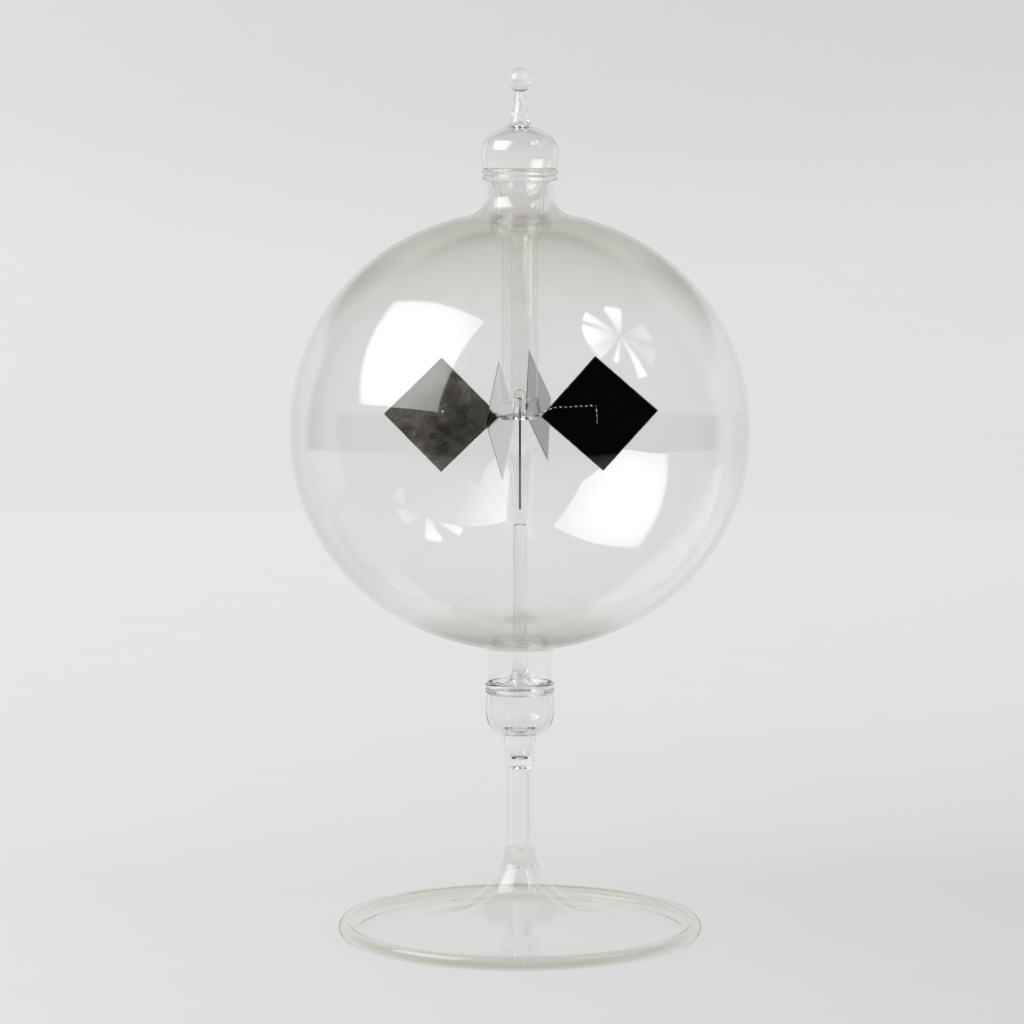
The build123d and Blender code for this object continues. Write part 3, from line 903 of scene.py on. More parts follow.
def foot_piece():
    """Blown foot: hollow cone that sweeps out into a thin disc with tooling rings and a thick rolled rim."""
    radius = FOOT_HIGH.x
    top = FOOT_HIGH.z
    sweep = smooth(
        [
            (FOOT_NECK_RADIUS, top),
            (9.6 * MM, 12.6 * MM),
            (16.5 * MM, 7.8 * MM),
            (28.0 * MM, 4.7 * MM),
            (RINGS_INSIDE, DISC_LEVEL),
        ],
        14,
    )
    rings = tooling_rings()
    rim_top = smooth(
        [
            rings[-1],
            (radius - 3.1 * MM, 3.2 * MM),
            (radius - 2.3 * MM, 3.55 * MM),
            (radius - 1.5 * MM, 3.66 * MM),
            (radius - 0.45 * MM, 3.05 * MM),
            (radius, 1.9 * MM),
            (radius - 0.25 * MM, 0.75 * MM),
            (radius - 0.9 * MM, 0.0),
        ]
    )
    under = smooth(
        [
            (radius - 4.0 * MM, 0.0),
            (radius - 6.5 * MM, 0.85 * MM),
            (36.0 * MM, 1.75 * MM),
            (28.0 * MM, 2.4 * MM),
            (16.5 * MM, 5.155 * MM),
            (9.0 * MM, 9.61 * MM),
            (4.2 * MM, 13.6 * MM),
            (0.0, 15.4 * MM),
        ],
        UNDER_STEPS,
    )
    return lathe(
        "glass_foot",
        [
            (JOINT, [(0, top), (FOOT_NECK_RADIUS, top)]),
            (SKIN, sweep + rings),
            (RIM, rim_top),
            RIM,
            (RIM, under[:UNDER_STEPS + 1]),
            (SKIN, under[UNDER_STEPS:]),
        ],
        segments=256,
    )


def cup_piece():
    """Closed-end cup with a flared skirt and a rolled brim."""
    dome = arc((0, CUP_HIGH.z - CUP_RADIUS), CUP_RADIUS, 90, 0, 14)
    dome[0] = (0, dome[0][1])
    roll = arc((BRIM_RADIUS - BRIM_ROLL, BRIM_HEIGHT), BRIM_ROLL, 130, -130, 26)
    flare_out = smooth(
        [
            (CUP_RADIUS, CUP_FLARE_TOP),
            (CUP_RADIUS + 0.5 * MM, CUP_FLARE_TOP - 1.5 * MM),
            (CUP_RADIUS + 1.7 * MM, BRIM_HEIGHT + 0.55 * MM),
            roll[0],
        ]
    )
    flare_in = smooth(
        [
            roll[-1],
            (CUP_BORE + 1.7 * MM, BRIM_HEIGHT + 0.05 * MM),
            (CUP_BORE + 0.4 * MM, CUP_FLARE_TOP - 1.7 * MM),
            (CUP_BORE, CUP_FLARE_TOP - 0.4 * MM),
        ]
    )
    seat = arc((0, CUP_SEAT - CUP_BORE), CUP_BORE, 0, 90, 10)
    seat[-1] = (0, seat[-1][1])
    outline = dome + flare_out + roll[1:] + flare_in[1:] + seat
    return lathe("glass_bearing_cup", [(SKIN, outline)], segments=96, shape=true_circle)


# ---------------------------------------------------------------- rotor pieces

ARMS = (1, 2, 3, 4)
MICA = 0.15 * MM
SOOT = 0.05 * MM
SOOT_MARGIN = 0.25 * MM
WIRE_RADIUS = 0.17 * MM
WIRE_GAP = 0.05 * MM
WIRE_RUN = 9.5 * MM
WIRE_END = 21.8 * MM
WIRE_LIFT = 2.3 * MM
WIRE_LEG = 5.0 * MM
WIRE_TWIST = 2.9 * MM
VANE_REACH = 22.4 * MM
PIN_RISE = 0.9 * MM
PIN_REACH = 0.45 * MM
BEAD_RADIUS = 0.32 * MM


def vane_seat(arm):
    """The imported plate's seat, its axes outwards, to the silvery face and up, and its half diagonals."""
    turn = math.radians(90 * (arm - 1))
    way = Vector((math.cos(turn), math.sin(turn), 0))
    points = [vertex.co.copy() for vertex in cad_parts[f"vane_{arm}"].data.vertices]

    def corner(direction):
        reach = max(point.dot(direction) for point in points)
        found = [point for point in points if point.dot(direction) > reach - 0.06 * MM]
        return sum(found, Vector()) / len(found)

    outer, inner = corner(way), corner(-way)
    top, foot = corner(Vector((0, 0, 1))), corner(Vector((0, 0, -1)))
    along = (outer - inner).normalized()
    up = (top - foot - (top - foot).dot(along) * along).normalized()
    across = up.cross(along)
    centre = (outer + inner + top + foot) / 4
    seat = Matrix((along, across, up)).transposed().to_4x4()
    seat.translation = centre
    return seat, (outer - inner).length / 2, (top - foot).length / 2


def sheet_piece(name, seat, along, tall, back, front, cells, ragged, draw):
    """Thin diamond plate, a little wavy, with a hand-cut edge that strays by the ragged amount."""
    bm = bmesh.new()
    waves = [[draw.uniform(*span) for span in ((0.5, 1.6), (0, 6.3), (-1, 1), (-1, 1))] for _ in range(4)]
    stray = [[draw.uniform(-1, 1) for _ in range(cells + 1)] for _ in range(4)]

    def place(u, v):
        """Point of the diamond, u and v each from 0 to 1 along two of its sides."""
        x = (u - v) * along
        z = (u + v - 1) * tall
        edge = 0.0
        for side, near, step in ((0, u, v), (1, 1 - u, v), (2, v, u), (3, 1 - v, u)):
            if near < 0.5 / cells:
                edge += stray[side][round(step * cells)]
        inward = ragged * abs(edge)
        length = math.hypot(x, z) or 1
        x -= inward * x / length
        z -= inward * z / length
        bow = 0.0
        for scale, phase, a, b in waves:
            bow += math.sin(phase + scale * math.pi * (a * x / along + b * z / tall))
        return x, bow * 0.012 * MM, z

    layers = []
    for level in (front, back):
        rows = []
        for i in range(cells + 1):
            row = []
            for j in range(cells + 1):
                x, bow, z = place(i / cells, j / cells)
                row.append(bm.verts.new(seat @ Vector((x, level + bow, z))))
            rows.append(row)
        layers.append(rows)
    low, high = layers
    for i in range(cells):
        for j in range(cells):
            bm.faces.new((low[i][j], low[i + 1][j], low[i + 1][j + 1], low[i][j + 1]))
            bm.faces.new((high[i][j], high[i][j + 1], high[i + 1][j + 1], high[i + 1][j]))
    border = [(i, 0) for i in range(cells)] + [(cells, j) for j in range(cells)]
    border += [(i, cells) for i in range(cells, 0, -1)] + [(0, j) for j in range(cells, 0, -1)]
    for (i, j), (k, m) in zip(border, border[1:] + border[:1]):
        bm.faces.new((low[i][j], low[k][m], high[k][m], high[i][j]))
    bmesh.ops.recalc_face_normals(bm, faces=bm.faces)
    return finished(name, bm)


def add_tube(bm, points, radius, sides=10, ends=True):
    """Round wire along the points, with rounded ends."""
    frame_normal = None
    rings = []
    count = len(points)
    for index, point in enumerate(points):
        way = (points[min(index + 1, count - 1)] - points[max(index - 1, 0)]).normalized()
        if frame_normal is None:
            frame_normal = way.orthogonal().normalized()
        frame_normal = (frame_normal - frame_normal.dot(way) * way).normalized()
        side = way.cross(frame_normal)
        ring = []
        for step in range(sides):
            angle = 2 * math.pi * step / sides
            out = frame_normal * math.cos(angle) + side * math.sin(angle)
            ring.append(bm.verts.new(point + out * radius))
        rings.append(ring)
    for low, high in zip(rings, rings[1:]):
        for step in range(sides):
            after = (step + 1) % sides
            bm.faces.new((low[step], low[after], high[after], high[step])).smooth = True
    if ends:
        for ring, point, way in (
            (rings[0], points[0], points[0] - points[1]),
            (rings[-1], points[-1], points[-1] - points[-2]),
        ):
            tip = bm.verts.new(point + way.normalized() * radius * 0.6)
            for step in range(sides):
                bm.faces.new((ring[step], ring[(step + 1) % sides], tip)).smooth = True


def add_bead(bm, centre, radius):
    where = Matrix.Translation(centre)
    made = bmesh.ops.create_uvsphere(bm, u_segments=20, v_segments=12, radius=radius, matrix=where)
    for face in {face for vert in made["verts"] for face in vert.link_faces}:
        face.smooth = True


def rounded_path(points, radius, steps=6):
    """The points joined by straight lines, with each corner turned on a small curve."""
    made = [points[0]]
    for before, corner, after in zip(points, points[1:], points[2:]):
        a = corner + (before - corner).normalized() * radius
        b = corner + (after - corner).normalized() * radius
        for step in range(steps + 1):
            t = step / steps
            made.append(a * (1 - t) ** 2 + corner * 2 * t * (1 - t) + b * t ** 2)
    return made + [points[-1]]


def divided(points, gap):
    """The same path with points no further apart than the gap."""
    made = [points[0]]
    for start, end in zip(points, points[1:]):
        count = max(1, math.ceil((end - start).length / gap))
        made += [start.lerp(end, step / count) for step in range(1, count + 1)]
    return made


def arm_piece(arm, seat):
    """Two thin strands twisted into one wire, laid over the black face, bent down and pinned through."""
    across = -(MICA / 2 + SOOT + WIRE_GAP + WIRE_RADIUS)
    end = WIRE_END - VANE_REACH
    turn = Matrix.Rotation(math.radians(90 * (arm - 1)), 4, "Z")
    start = turn @ Vector((CUP_HIGH.x - BRIM_ROLL * 1.4, across, BRIM_HEIGHT))
    run_start = seat @ Vector((WIRE_RUN - VANE_REACH, across, WIRE_LIFT))
    corner = seat @ Vector((end, across, WIRE_LIFT))
    tip = seat @ Vector((end, across, WIRE_LIFT - WIRE_LEG))
    path = divided(rounded_path([start, run_start, corner, tip], 0.6 * MM), WIRE_TWIST / 14)
    strand = WIRE_RADIUS * 0.52
    bm = bmesh.new()
    for phase in (0, math.pi):
        points = []
        gone = 0.0
        normal = None
        for index, point in enumerate(path):
            way = (path[min(index + 1, len(path) - 1)] - path[max(index - 1, 0)]).normalized()
            normal = way.orthogonal() if normal is None else normal - normal.dot(way) * way
            normal.normalize()
            side = way.cross(normal)
            if index:
                gone += (point - path[index - 1]).length
            angle = phase + 2 * math.pi * gone / WIRE_TWIST
            points.append(point + (normal * math.cos(angle) + side * math.sin(angle)) * strand)
        add_tube(bm, points, strand, sides=8)
    pin_start = seat @ Vector((end, across, PIN_RISE))
    pin_end = seat @ Vector((end, PIN_REACH, PIN_RISE))
    add_tube(bm, [pin_start, pin_start.lerp(pin_end, 0.5), pin_end], WIRE_RADIUS * 0.8, sides=10)
    add_bead(bm, pin_end, BEAD_RADIUS)
    add_bead(bm, pin_start, WIRE_RADIUS * 1.35)
    bmesh.ops.recalc_face_normals(bm, faces=bm.faces)
    return finished(f"twisted_arm_{arm}", bm)


# ---------------------------------------------------------------- rotor materials

def steel_material():
    """Dark polished needle, its grain drawn along it."""
    material, nodes = new_material("needle_steel")
    steel = node(nodes, "BsdfPrincipled", Metallic=1.0, IOR=2.4)
    grain = noise(nodes, 9000.0, 3.0, stretch=(1.0, 1.0, 0.08))
    colour = ramp(nodes, STEEL_TONES, noise(nodes, 600.0), "Fac")
    join(colour, "Color", steel, "Base Color")
    join(ranged(nodes, grain, "Fac", To_Min=0.16, To_Max=0.34), "Result", steel, "Roughness")
    bumped(nodes, grain, 0.25, 0.004 * MM, steel)
    show(nodes, steel)
    return material


def wire_material():
    """Fine wire, dark between painted glints: bright bands in its colour at each crossing of its two strands,
    one of them at the arm's bend.
    """
    material, nodes = new_material("arm_wire")
    metal = node(nodes, "BsdfPrincipled", Metallic=1.0)
    flat = vector_maths(nodes, "MULTIPLY", (1.0, 1.0, 0.0))
    reach = node(nodes, "VectorMath")
    reach.operation = "LENGTH"
    join(flat, "Vector", reach, 0)
    turn = 4 * math.pi / WIRE_TWIST
    turned = maths(nodes, "MULTIPLY_ADD", (reach, "Value"), turn, -turn * WIRE_END)
    swing = maths(nodes, "COSINE", (turned, "Value"))
    painted_glint = ranged(nodes, swing, "Value", From_Min=-1.0, From_Max=1.0)
    join(ramp(nodes, WIRE_TONES_AND_GLINTS, painted_glint, "Result"), "Color", metal, "Base Color")
    gloss = ranged(nodes, noise(nodes, 1400.0, 3.0), "Fac", To_Min=0.06, To_Max=0.14)
    join(gloss, "Result", metal, "Roughness")
    show(nodes, metal)
    return material


STEEL_TONES = [(0.3, (0.035, 0.034, 0.033)), (0.7, (0.11, 0.108, 0.105))]
# Dark wire and its painted glints: the bright stop is a painted highlight, the dark stops painted shade
# between them.
WIRE_TONES_AND_GLINTS = [(0.45, (0.035, 0.035, 0.04)), (0.62, (0.16, 0.16, 0.17)), (0.85, (0.80, 0.80, 0.84))]
MICA_CLOUDS = [
    (0.42, (0.012, 0.0115, 0.011)),
    (0.60, (0.044, 0.041, 0.037)),
    (0.78, (0.115, 0.105, 0.092)),
    (0.95, (0.21, 0.20, 0.185)),
]
SOOT_FLECKS = [
    (0.35, (0.0015, 0.0015, 0.0017)),
    (0.62, (0.0045, 0.0045, 0.005)),
    (0.8, (0.014, 0.014, 0.015)),
]
MICA_GLANCE = [(0.30, 0.0), (0.72, 0.86), (1.0, 0.95)]
SOOT_GLANCE = [(0.40, 0.0), (0.74, 0.55), (1.0, 0.75)]


def glancing(nodes, body, stops, roughness):
    """The body shader under a sheen that grows as the view runs along the surface."""
    share = ramp(nodes, stops, node(nodes, "LayerWeight", Blend=0.5), "Facing")
    sheen = node(nodes, "BsdfGlossy", Color=(1, 1, 1, 1), Roughness=roughness)
    return mixed(nodes, share, "Color", body, sheen)


def mica_material():
    """Silvery mica: smooth, dark from the soot behind it, with brown and grey clouds and fine scratches."""
    material, nodes = new_material("mica")
    mica = node(nodes, "BsdfPrincipled", IOR=1.58, Specular_IOR_Level=0.4)
    clouds = noise(nodes, 210.0, 5.0, Roughness=0.6, Distortion=1.2)
    large = noise(nodes, 60.0, Roughness=0.5)
    blend = maths(nodes, "MULTIPLY_ADD", (clouds, "Fac"), 0.6, (large, "Fac"))
    join(ramp(nodes, MICA_CLOUDS, blend, "Value"), "Color", mica, "Base Color")
    scratches = noise(nodes, 420.0, stretch=(1.0, 1.0, 14.0), turn=(0.3, 0.6, 0.2))
    gloss = ranged(nodes, scratches, "Fac", From_Min=0.35, From_Max=0.7, To_Min=0.10, To_Max=0.32)
    join(gloss, "Result", mica, "Roughness")
    bumped(nodes, scratches, 0.35, 0.01 * MM, mica)
    show(nodes, glancing(nodes, mica, MICA_GLANCE, 0.05), "Shader")
    return material


def soot_material():
    """Lampblack: dead matt, with a velvet of slightly greyer flecks."""
    material, nodes = new_material("lampblack")
    soot = node(nodes, "BsdfPrincipled", Roughness=1.0, Specular_IOR_Level=0.0)
    flecks = noise(nodes, 2600.0, 4.0, Roughness=0.7)
    join(ramp(nodes, SOOT_FLECKS, flecks, "Fac"), "Color", soot, "Base Color")
    bumped(nodes, flecks, 0.5, 0.02 * MM, soot)
    show(nodes, glancing(nodes, soot, SOOT_GLANCE, 0.28), "Shader")
    return material


# ---------------------------------------------------------------- the object

def build_vessel():
    solid = glass_material(
        "clear_glass",
        clear=(0.985, 0.99, 0.985),
        tinted=(0.96, 0.975, 0.962),
        shade=(0.985, 0.985, 0.985),
        wave_scale=55.0,
        wave_depth=0.02 * MM,
        # Painted shade: the glass darkens to this colour at its outline.
        edge=(0.6, 0.6, 0.57),
    )
    gather = glass_material(
        "foot_glass",
        clear=(0.985, 0.992, 0.98),
        tinted=(0.955, 0.975, 0.945),
        shade=(0.965, 0.97, 0.962),
        wave_scale=75.0,
        wave_depth=0.02 * MM,
        # Painted shade: the foot glass darkens to this colour at its outline.
        edge=(0.5, 0.5, 0.47),
    )
    joint = joint_material()
    globe = thin_glass_material("thin_clear_glass", CLEAR_WALL, 0.03 * MM, gathered_and_shaded=True)
    tube = thin_glass_material("thin_tube_glass", TUBE_WALL, 0.004 * MM)
    disc = thin_glass_material("thin_foot_glass", DISC_WALL, 0.01 * MM)
    rim = thin_glass_material("foot_rim_glass", RIM_WALL, 0.01 * MM, edge_mirror=0.35)
    neck = thin_glass_material("foot_neck_glass", NECK_WALL, 0.01 * MM)
    steel = steel_material()
    for make, cad, made_of, slot in (
        (bulb_piece, "bulb", [globe, joint], "clear_glass"),
        (upper_seal_piece, "upper_ring_seal", [solid, joint], "clear_glass"),
        (top_chamber_piece, "top_chamber", [solid, joint], "clear_glass"),
        (tip_piece, "evacuation_tip", [solid, joint], "clear_glass"),
        (finial_piece, "finial_ball", [solid, joint], "clear_glass"),
        (guard_piece, "guard_tube", [tube, joint], "clear_glass"),
        (lower_seal_piece, "lower_ring_seal", [solid, joint], "clear_glass"),
        (flare_piece, "support_flare", [solid, joint], "clear_glass"),
        (rod_piece, "support_rod", [solid, joint], "clear_glass"),
        (sleeve_piece, "needle_sleeve", [tube, joint], "clear_glass"),
        (lower_chamber_piece, "lower_chamber", [solid, joint], "clear_glass"),
        (collar_piece, "stem_collar", [solid, joint], "clear_glass"),
        (stem_piece, "stem_tube", [solid, joint], "clear_glass"),
        (foot_neck_piece, "foot_neck", [gather, joint, neck], "foot_glass"),
        (foot_piece, "foot", [disc, joint, rim], "foot_glass"),
        (needle_piece, "pivot_needle", [steel], "needle_steel"),
    ):
        install(make(), made_of, "vessel", cad)


def build_rotor():
    cup = glass_material(
        "cup_glass",
        clear=(0.975, 0.98, 0.97),
        tinted=(0.94, 0.955, 0.935),
        shade=(0.97, 0.97, 0.965),
        wave_scale=420.0,
        wave_depth=0.01 * MM,
        # Painted shade: from a quarter of the way towards its outline, the cup's colour goes nearly black,
        # for bold dark edges.
        edge=(0.03, 0.03, 0.03),
        edge_shade_start=0.25,
    )
    wire = wire_material()
    mica = mica_material()
    soot = soot_material()
    install(cup_piece(), [cup], "rotor", "bearing_cup")
    for arm in ARMS:
        draw = random.Random(20 + arm)
        seat, along, tall = vane_seat(arm)
        plate = sheet_piece(f"mica_vane_{arm}", seat, along, tall, -MICA / 2, MICA / 2, 48, 0.10 * MM, draw)
        install(plate, [mica], "rotor", f"vane_{arm}")
        film = sheet_piece(
            f"soot_film_{arm}",
            seat,
            along - SOOT_MARGIN,
            tall - SOOT_MARGIN,
            -MICA / 2 - SOOT,
            -MICA / 2 - 0.002 * MM,
            64,
            0.22 * MM,
            random.Random(20 + arm),
        )
        install(film, [soot], "rotor", f"lampblack_{arm}")
        install(arm_piece(arm, seat), [wire], "rotor", f"vane_arm_{arm}")


# ---------------------------------------------------------------- studio

CAMERA_AZIMUTH = math.radians(-76.5)
CAMERA_DISTANCE = 1.0034
CAMERA_HEIGHT = 0.2177
CAMERA_PITCH = math.radians(5.679)
CAMERA_ASIDE = 0.0022
CAMERA_LENS = 128.1

back = Vector((math.cos(CAMERA_AZIMUTH), math.sin(CAMERA_AZIMUTH), 0))
right = Vector((-back.y, back.x, 0))
rear = (back * math.cos(CAMERA_PITCH) + Vector((0, 0, math.sin(CAMERA_PITCH)))).normalized()
upward = rear.cross(right)
MIDDLE = Vector((0, 0, BULB_CENTRE))


def in_studio(x, y, z):
    """Point given from the bulb's centre as metres to the camera's right, up and towards the camera."""
    return MIDDLE + right * x + upward * y + rear * z


def add_camera():
    data = bpy.data.cameras.new("camera")
    data.lens = CAMERA_LENS
    data.sensor_width = 36
    data.clip_start = 0.05
    data.clip_end = 50
    camera = bpy.data.objects.new("camera", data)
    bpy.context.scene.collection.objects.link(camera)
    camera.location = back * CAMERA_DISTANCE - right * CAMERA_ASIDE + Vector((0, 0, CAMERA_HEIGHT))
    camera.rotation_euler = rear.to_track_quat("Z", "Y").to_euler()
    bpy.context.scene.camera = camera


def glow_material(name, colour, strength):
    """Light of the given strength, times the mesh's own glow."""
    material, nodes = new_material(name)
    material.cycles.emission_sampling = "NONE"
    glow = node(nodes, "Emission", Color=(*colour, 1))
    share = node(nodes, "Attribute")
    share.attribute_name = "glow"
    join(maths(nodes, "MULTIPLY", (share, "Fac"), strength), "Value", glow, "Strength")
    show(nodes, glow, "Emission")
    return material


def only_reflected(panel):
    """The panel is seen only in the glass, so that it hides nothing from any side."""
    panel.visible_camera = False
    panel.visible_diffuse = False
    panel.visible_shadow = False


CARD_GLOW = 0.70
CARD_REACH = 1.2
CARD_LOW, CARD_TOP, CARD_END = -0.01, 0.40, 1.5
# Angles of the card's soft ends, seen from the object
CARD_LEFT, CARD_RIGHT = math.radians(-54), math.radians(72)
CARD_SIDE_LEVEL = 0.45
TABLE_DROP = 0.2 * MM


def eased(share):
    """Smooth step from 0 to 1."""
    share = min(1.0, max(0.0, share))
    return share * share * (3 - 2 * share)


def add_sheet(bm, layer, columns, rows, place, level):
    """Sheet of faces. place gives the point and level the glow, for shares from 0 to 1 along both edges."""
    grid = []
    for row in range(rows + 1):
        line = []
        for column in range(columns + 1):
            across, along = column / columns, row / rows
            line.append((bm.verts.new(place(across, along)), level(across, along)))
        grid.append(line)
    for low, high in zip(grid, grid[1:]):
        for step in range(columns):
            corners = [low[step], low[step + 1], high[step + 1], high[step]]
            face = bm.faces.new([vert for vert, _ in corners])
            for loop, (_, glow) in zip(face.loops, corners):
                loop[layer] = (glow, glow, glow, 1)


def card_point(x, y, z):
    """Point at the cards' distance from the bulb's centre, in a direction given as for in_studio."""
    return in_studio(*(Vector((x, y, z)).normalized() * CARD_REACH))


def heading(turn):
    """Level direction at an angle to the right of the view."""
    return right * math.sin(turn) - back * math.cos(turn)


def add_softbox():
    """Tall softbox to the upper left, brighter towards its middle."""
    corners = [(-.98, .17, .07), (-.65, .13, .75), (-.26, .82, .51), (-.66, .73, -.19)]
    low_left, low_right, high_right, high_left = [card_point(*corner) for corner in corners]

    def place(across, along):
        return low_left.lerp(high_left, along).lerp(low_right.lerp(high_right, along), across)

    bm = bmesh.new()
    add_sheet(
        bm,
        bm.loops.layers.float_color.new("glow"),
        16,
        16,
        place,
        lambda across, along: 1.0 - 0.8 * math.hypot(across - 0.45, along - 0.5),
    )
    panel = finished("softbox", bm)
    panel.data.materials.append(glow_material("softbox_glow", (1.0, 0.995, 0.985), 6.5))
    only_reflected(panel)


UMBRELLA_RADIUS = 0.37
UMBRELLA_DISH = 0.1
# Each gore's direction and half width in degrees, its glow near the hub and at its end, and its length
GORES = [
    (112, 9, 0.25, 0.95, 1.0),
    (150, 20, 0.10, 1.0, 1.0),
    (182, 14, 0.08, 0.55, 1.0),
    (220, 6, 0.45, 0.75, 0.8),
    (269, 7, 0.75, 1.0, 1.15),
    (308, 16, 0.08, 0.20, 1.0),
    (350, 14, 0.02, 0.30, 0.95),
    (55, 15, 0.25, 1.0, 0.9),
]


def gore_place(hub, side, rise, facing, gore):
    """Function that gives the points of one gore of the umbrella."""
    direction, half, _, _, length = gore

    def place(across, along):
        turn = math.radians(direction + half * (2 * across - 1))
        reach = UMBRELLA_RADIUS * (0.04 + 0.96 * along * length)
        way = side * math.cos(turn) + rise * math.sin(turn)
        return hub + way * reach - facing * UMBRELLA_DISH * (1 - along ** 2)

    return place


def add_umbrella():
    """Umbrella to the upper right, lit unevenly, so that its gores show."""
    hub = card_point(.67, .66, .33)
    facing = (MIDDLE - hub).normalized()
    side = facing.cross(Vector((0, 0, 1))).normalized()
    rise = side.cross(facing)
    bm = bmesh.new()
    layer = bm.loops.layers.float_color.new("glow")
    for gore in GORES:
        near, far = gore[2:4]
        place = gore_place(hub, side, rise, facing, gore)
        add_sheet(bm, layer, 6, 10, place, lambda across, along: near + (far - near) * along)
    umbrella = finished("umbrella", bm)
    umbrella.data.materials.append(glow_material("umbrella_glow", (1.0, 1.0, 1.0), 5.5))
    only_reflected(umbrella)


def add_lamp(name, place, size, power):
    """Area lamp aimed at the bulb, for light on surfaces; the glass shows the panels instead."""
    data = bpy.data.lights.new(name, "AREA")
    data.shape = "SQUARE"
    data.size = size
    data.energy = power
    lamp = bpy.data.objects.new(name, data)
    bpy.context.scene.collection.objects.link(lamp)
    lamp.location = place
    lamp.rotation_euler = (place - MIDDLE).to_track_quat("Z", "Y").to_euler()
    lamp.visible_glossy = False
    lamp.visible_transmission = False
    lamp.visible_camera = False


# Distance behind the object, the paper's own light there and how much it leans to one side. The lower light
# near the object is a painted shadow, the lean is painted shade that darkens the right side, and the lower
# light far back darkens the sweep.
PAPER_GLOW_AND_SHADE = [
    (-0.10, 0.615, 0.30),
    (0.0, 0.608, 0.34),
    (0.07, 0.60, 0.36),
    (0.17, 0.635, 0.24),
    (0.43, 0.67, 0.10),
    (0.93, 0.692, 0.10),
    (2.17, 0.702, 0.12),
    (2.43, 0.69, 0.16),
    (2.56, 0.66, 0.18),
    (2.66, 0.625, 0.22),
    (2.78, 0.60, 0.28),
]


def floor_material():
    """Pale seamless paper. Part of its light is its own, so that it stays even a long way from the lamps;
    that own light carries painted shade, dimmer near the object, darker to the right and up the sweep.
    """
    material, nodes = new_material("pale_paper")
    material.cycles.emission_sampling = "NONE"
    paper = node(nodes, "BsdfPrincipled", Roughness=0.9, Specular_IOR_Level=0.1, Emission_Color=(1, 1, 1, 1))
    tone = ramp(nodes, [(0.3, 0.152), (0.7, 0.162)], noise(nodes, 30.0, 4.0), "Fac")
    join(tone, "Color", paper, "Base Color")
    aside = vector_maths(nodes, "DOT_PRODUCT", right)
    depth = vector_maths(nodes, "DOT_PRODUCT", -back)
    near, far = PAPER_GLOW_AND_SHADE[0][0], PAPER_GLOW_AND_SHADE[-1][0]
    along = ranged(nodes, depth, "Value", From_Min=near, From_Max=far)
    stops = [((level - near) / (far - near), (middle, lean, 0.0)) for level, middle, lean in PAPER_GLOW_AND_SHADE]
    parts = node(nodes, "SeparateColor")
    join(ramp(nodes, stops, along, "Result"), "Color", parts, "Color")
    away = maths(nodes, "ADD", (depth, "Value"), CAMERA_DISTANCE)
    ratio = maths(nodes, "DIVIDE", (aside, "Value"), (away, "Value"))
    held = node(nodes, "Clamp", Min=-0.2, Max=0.2)
    join(ratio, "Value", held, "Value")
    # Painted shade: the paper's own light is lowered towards the right.
    painted_side_shade = maths(nodes, "MULTIPLY", (held, "Result"), (parts, "Green"))
    total = maths(nodes, "SUBTRACT", (parts, "Red"), (painted_side_shade, "Value"))
    join(total, "Value", paper, "Emission Strength")
    show(nodes, paper)
    return material


def add_floor():
    """Round seamless floor that sweeps up into a low wall all round, well outside every view."""
    flat, sweep, wall = 2.0, 1.0, 1.15
    outline = [(0, 0), (0.2, 0), (0.6, 0), (1.2, 0), (flat, 0)]
    outline += [(x + flat, z + sweep) for x, z in arc((0, 0), sweep, -90, 0, 24)[1:]]
    outline.append((flat + sweep, wall))
    floor = lathe("floor", [(SKIN, outline)], segments=96, shape=true_circle)
    floor.location.z = FOOT_LOW.z - 0.05 * MM
    floor.data.materials.append(floor_material())
    floor.visible_glossy = False


# Upward part of a direction, and the room's tone there
ROOM_TONES = [(0.0, 0.68), (0.5, 0.64), (0.68, 0.55), (0.78, (0.05, 0.05, 0.048)), (1.0, (0.02, 0.02, 0.019))]


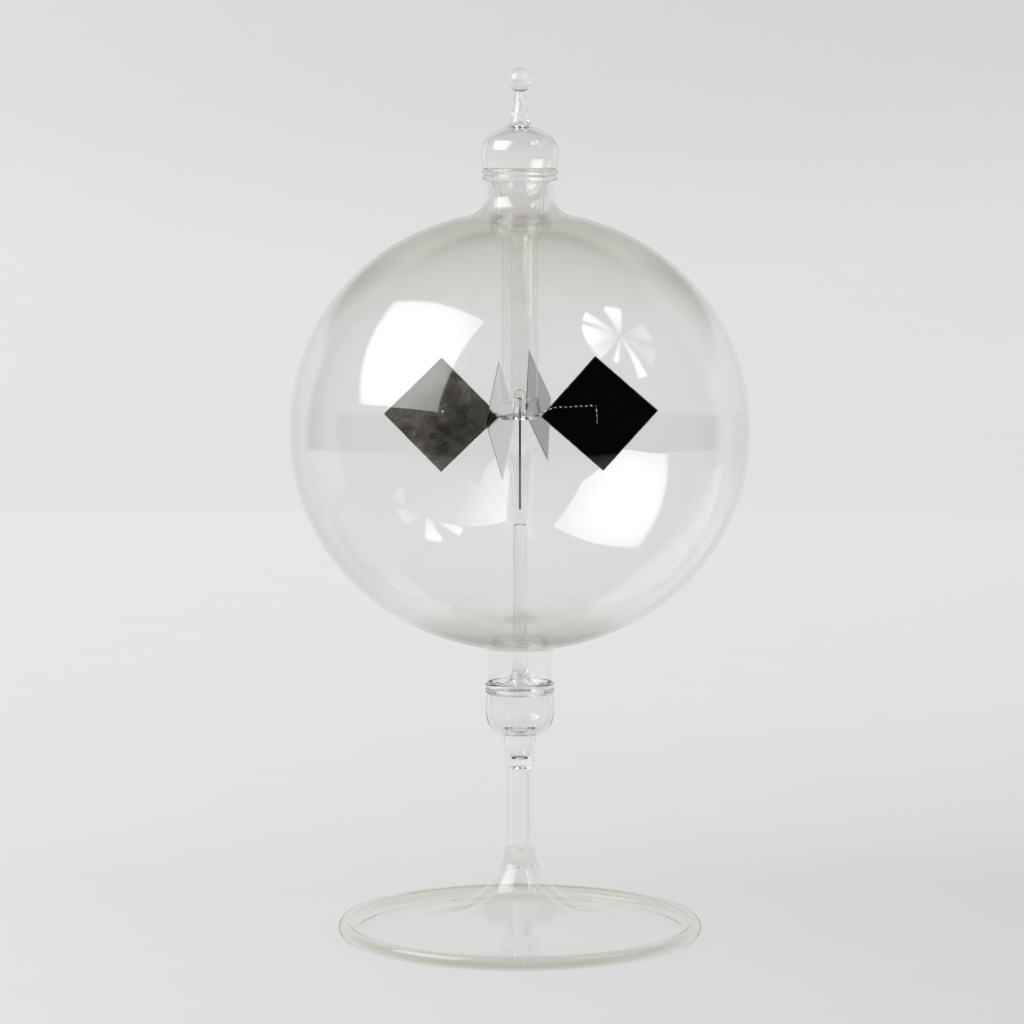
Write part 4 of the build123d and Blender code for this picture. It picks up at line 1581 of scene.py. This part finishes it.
def add_surroundings():
    """What bent light meets beyond the sweep: a grey room, darker overhead. Mirrors see only the cards."""
    world = bpy.data.worlds.new("studio")
    bpy.context.scene.world = world
    world.use_nodes = True
    world.cycles_visibility.glossy = False
    nodes = world.node_tree.nodes
    nodes.clear()
    background = node(nodes, "Background", Strength=1.0)
    split = node(nodes, "SeparateXYZ")
    join(node(nodes, "TexCoord"), "Generated", split, "Vector")
    join(ramp(nodes, ROOM_TONES, split, "Z"), "Color", background, "Color")
    join(background, "Background", node(nodes, "OutputWorld"), "Surface")


def add_mirror_cards():
    """What the glass mirrors of the sweep: a curved backdrop, dimmer in its upper corners, and the table."""

    def turn_at(across):
        return CARD_LEFT + (CARD_RIGHT - CARD_LEFT) * across

    def height_at(along):
        return CARD_LOW + (CARD_END - CARD_LOW) * along

    def backdrop(across, along):
        return heading(turn_at(across)) * CARD_REACH + Vector((0, 0, height_at(along)))

    def backdrop_glow(across, along):
        turn, height = turn_at(across), height_at(along)
        outside = eased((abs(turn) - 0.17 - 0.4 * (height - CARD_TOP)) / 0.25)
        corner = (1 - CARD_SIDE_LEVEL) * outside * eased((height - CARD_TOP) / 0.12)
        ends = eased((turn - CARD_LEFT) / 0.12) * eased((CARD_RIGHT - turn) / 0.12)
        return (1 - corner) * ends * eased((CARD_END - height) / 0.4)

    def table(across, along):
        return heading(2 * math.pi * across) * CARD_REACH * max(along, 0.01) - Vector((0, 0, TABLE_DROP))

    def table_glow(across, along):
        return eased(1 + math.cos(2 * math.pi * across) * along)

    bm = bmesh.new()
    layer = bm.loops.layers.float_color.new("glow")
    add_sheet(bm, layer, 48, 40, backdrop, backdrop_glow)
    add_sheet(bm, layer, 48, 12, table, table_glow)
    cards = finished("mirror_cards", bm)
    cards.data.materials.append(glow_material("card_glow", (1.0, 1.0, 0.995), CARD_GLOW))
    cards.visible_transmission = False
    only_reflected(cards)


def set_look():
    scene = bpy.context.scene
    scene.view_settings.view_transform = "Standard"
    scene.cycles.max_bounces = 24
    scene.cycles.transmission_bounces = 24
    scene.cycles.glossy_bounces = 8
    scene.cycles.transparent_max_bounces = 32
    scene.cycles.caustics_reflective = False
    scene.cycles.caustics_refractive = False


build_vessel()
build_rotor()
add_camera()
add_softbox()
add_umbrella()
add_lamp("key_lamp", in_studio(-0.9, 0.75, 0.35), 1.1, 5.2)
add_lamp("fill_lamp", in_studio(0.9, 0.75, 0.3), 0.8, 1.8)
add_floor()
add_surroundings()
add_mirror_cards()
set_look()
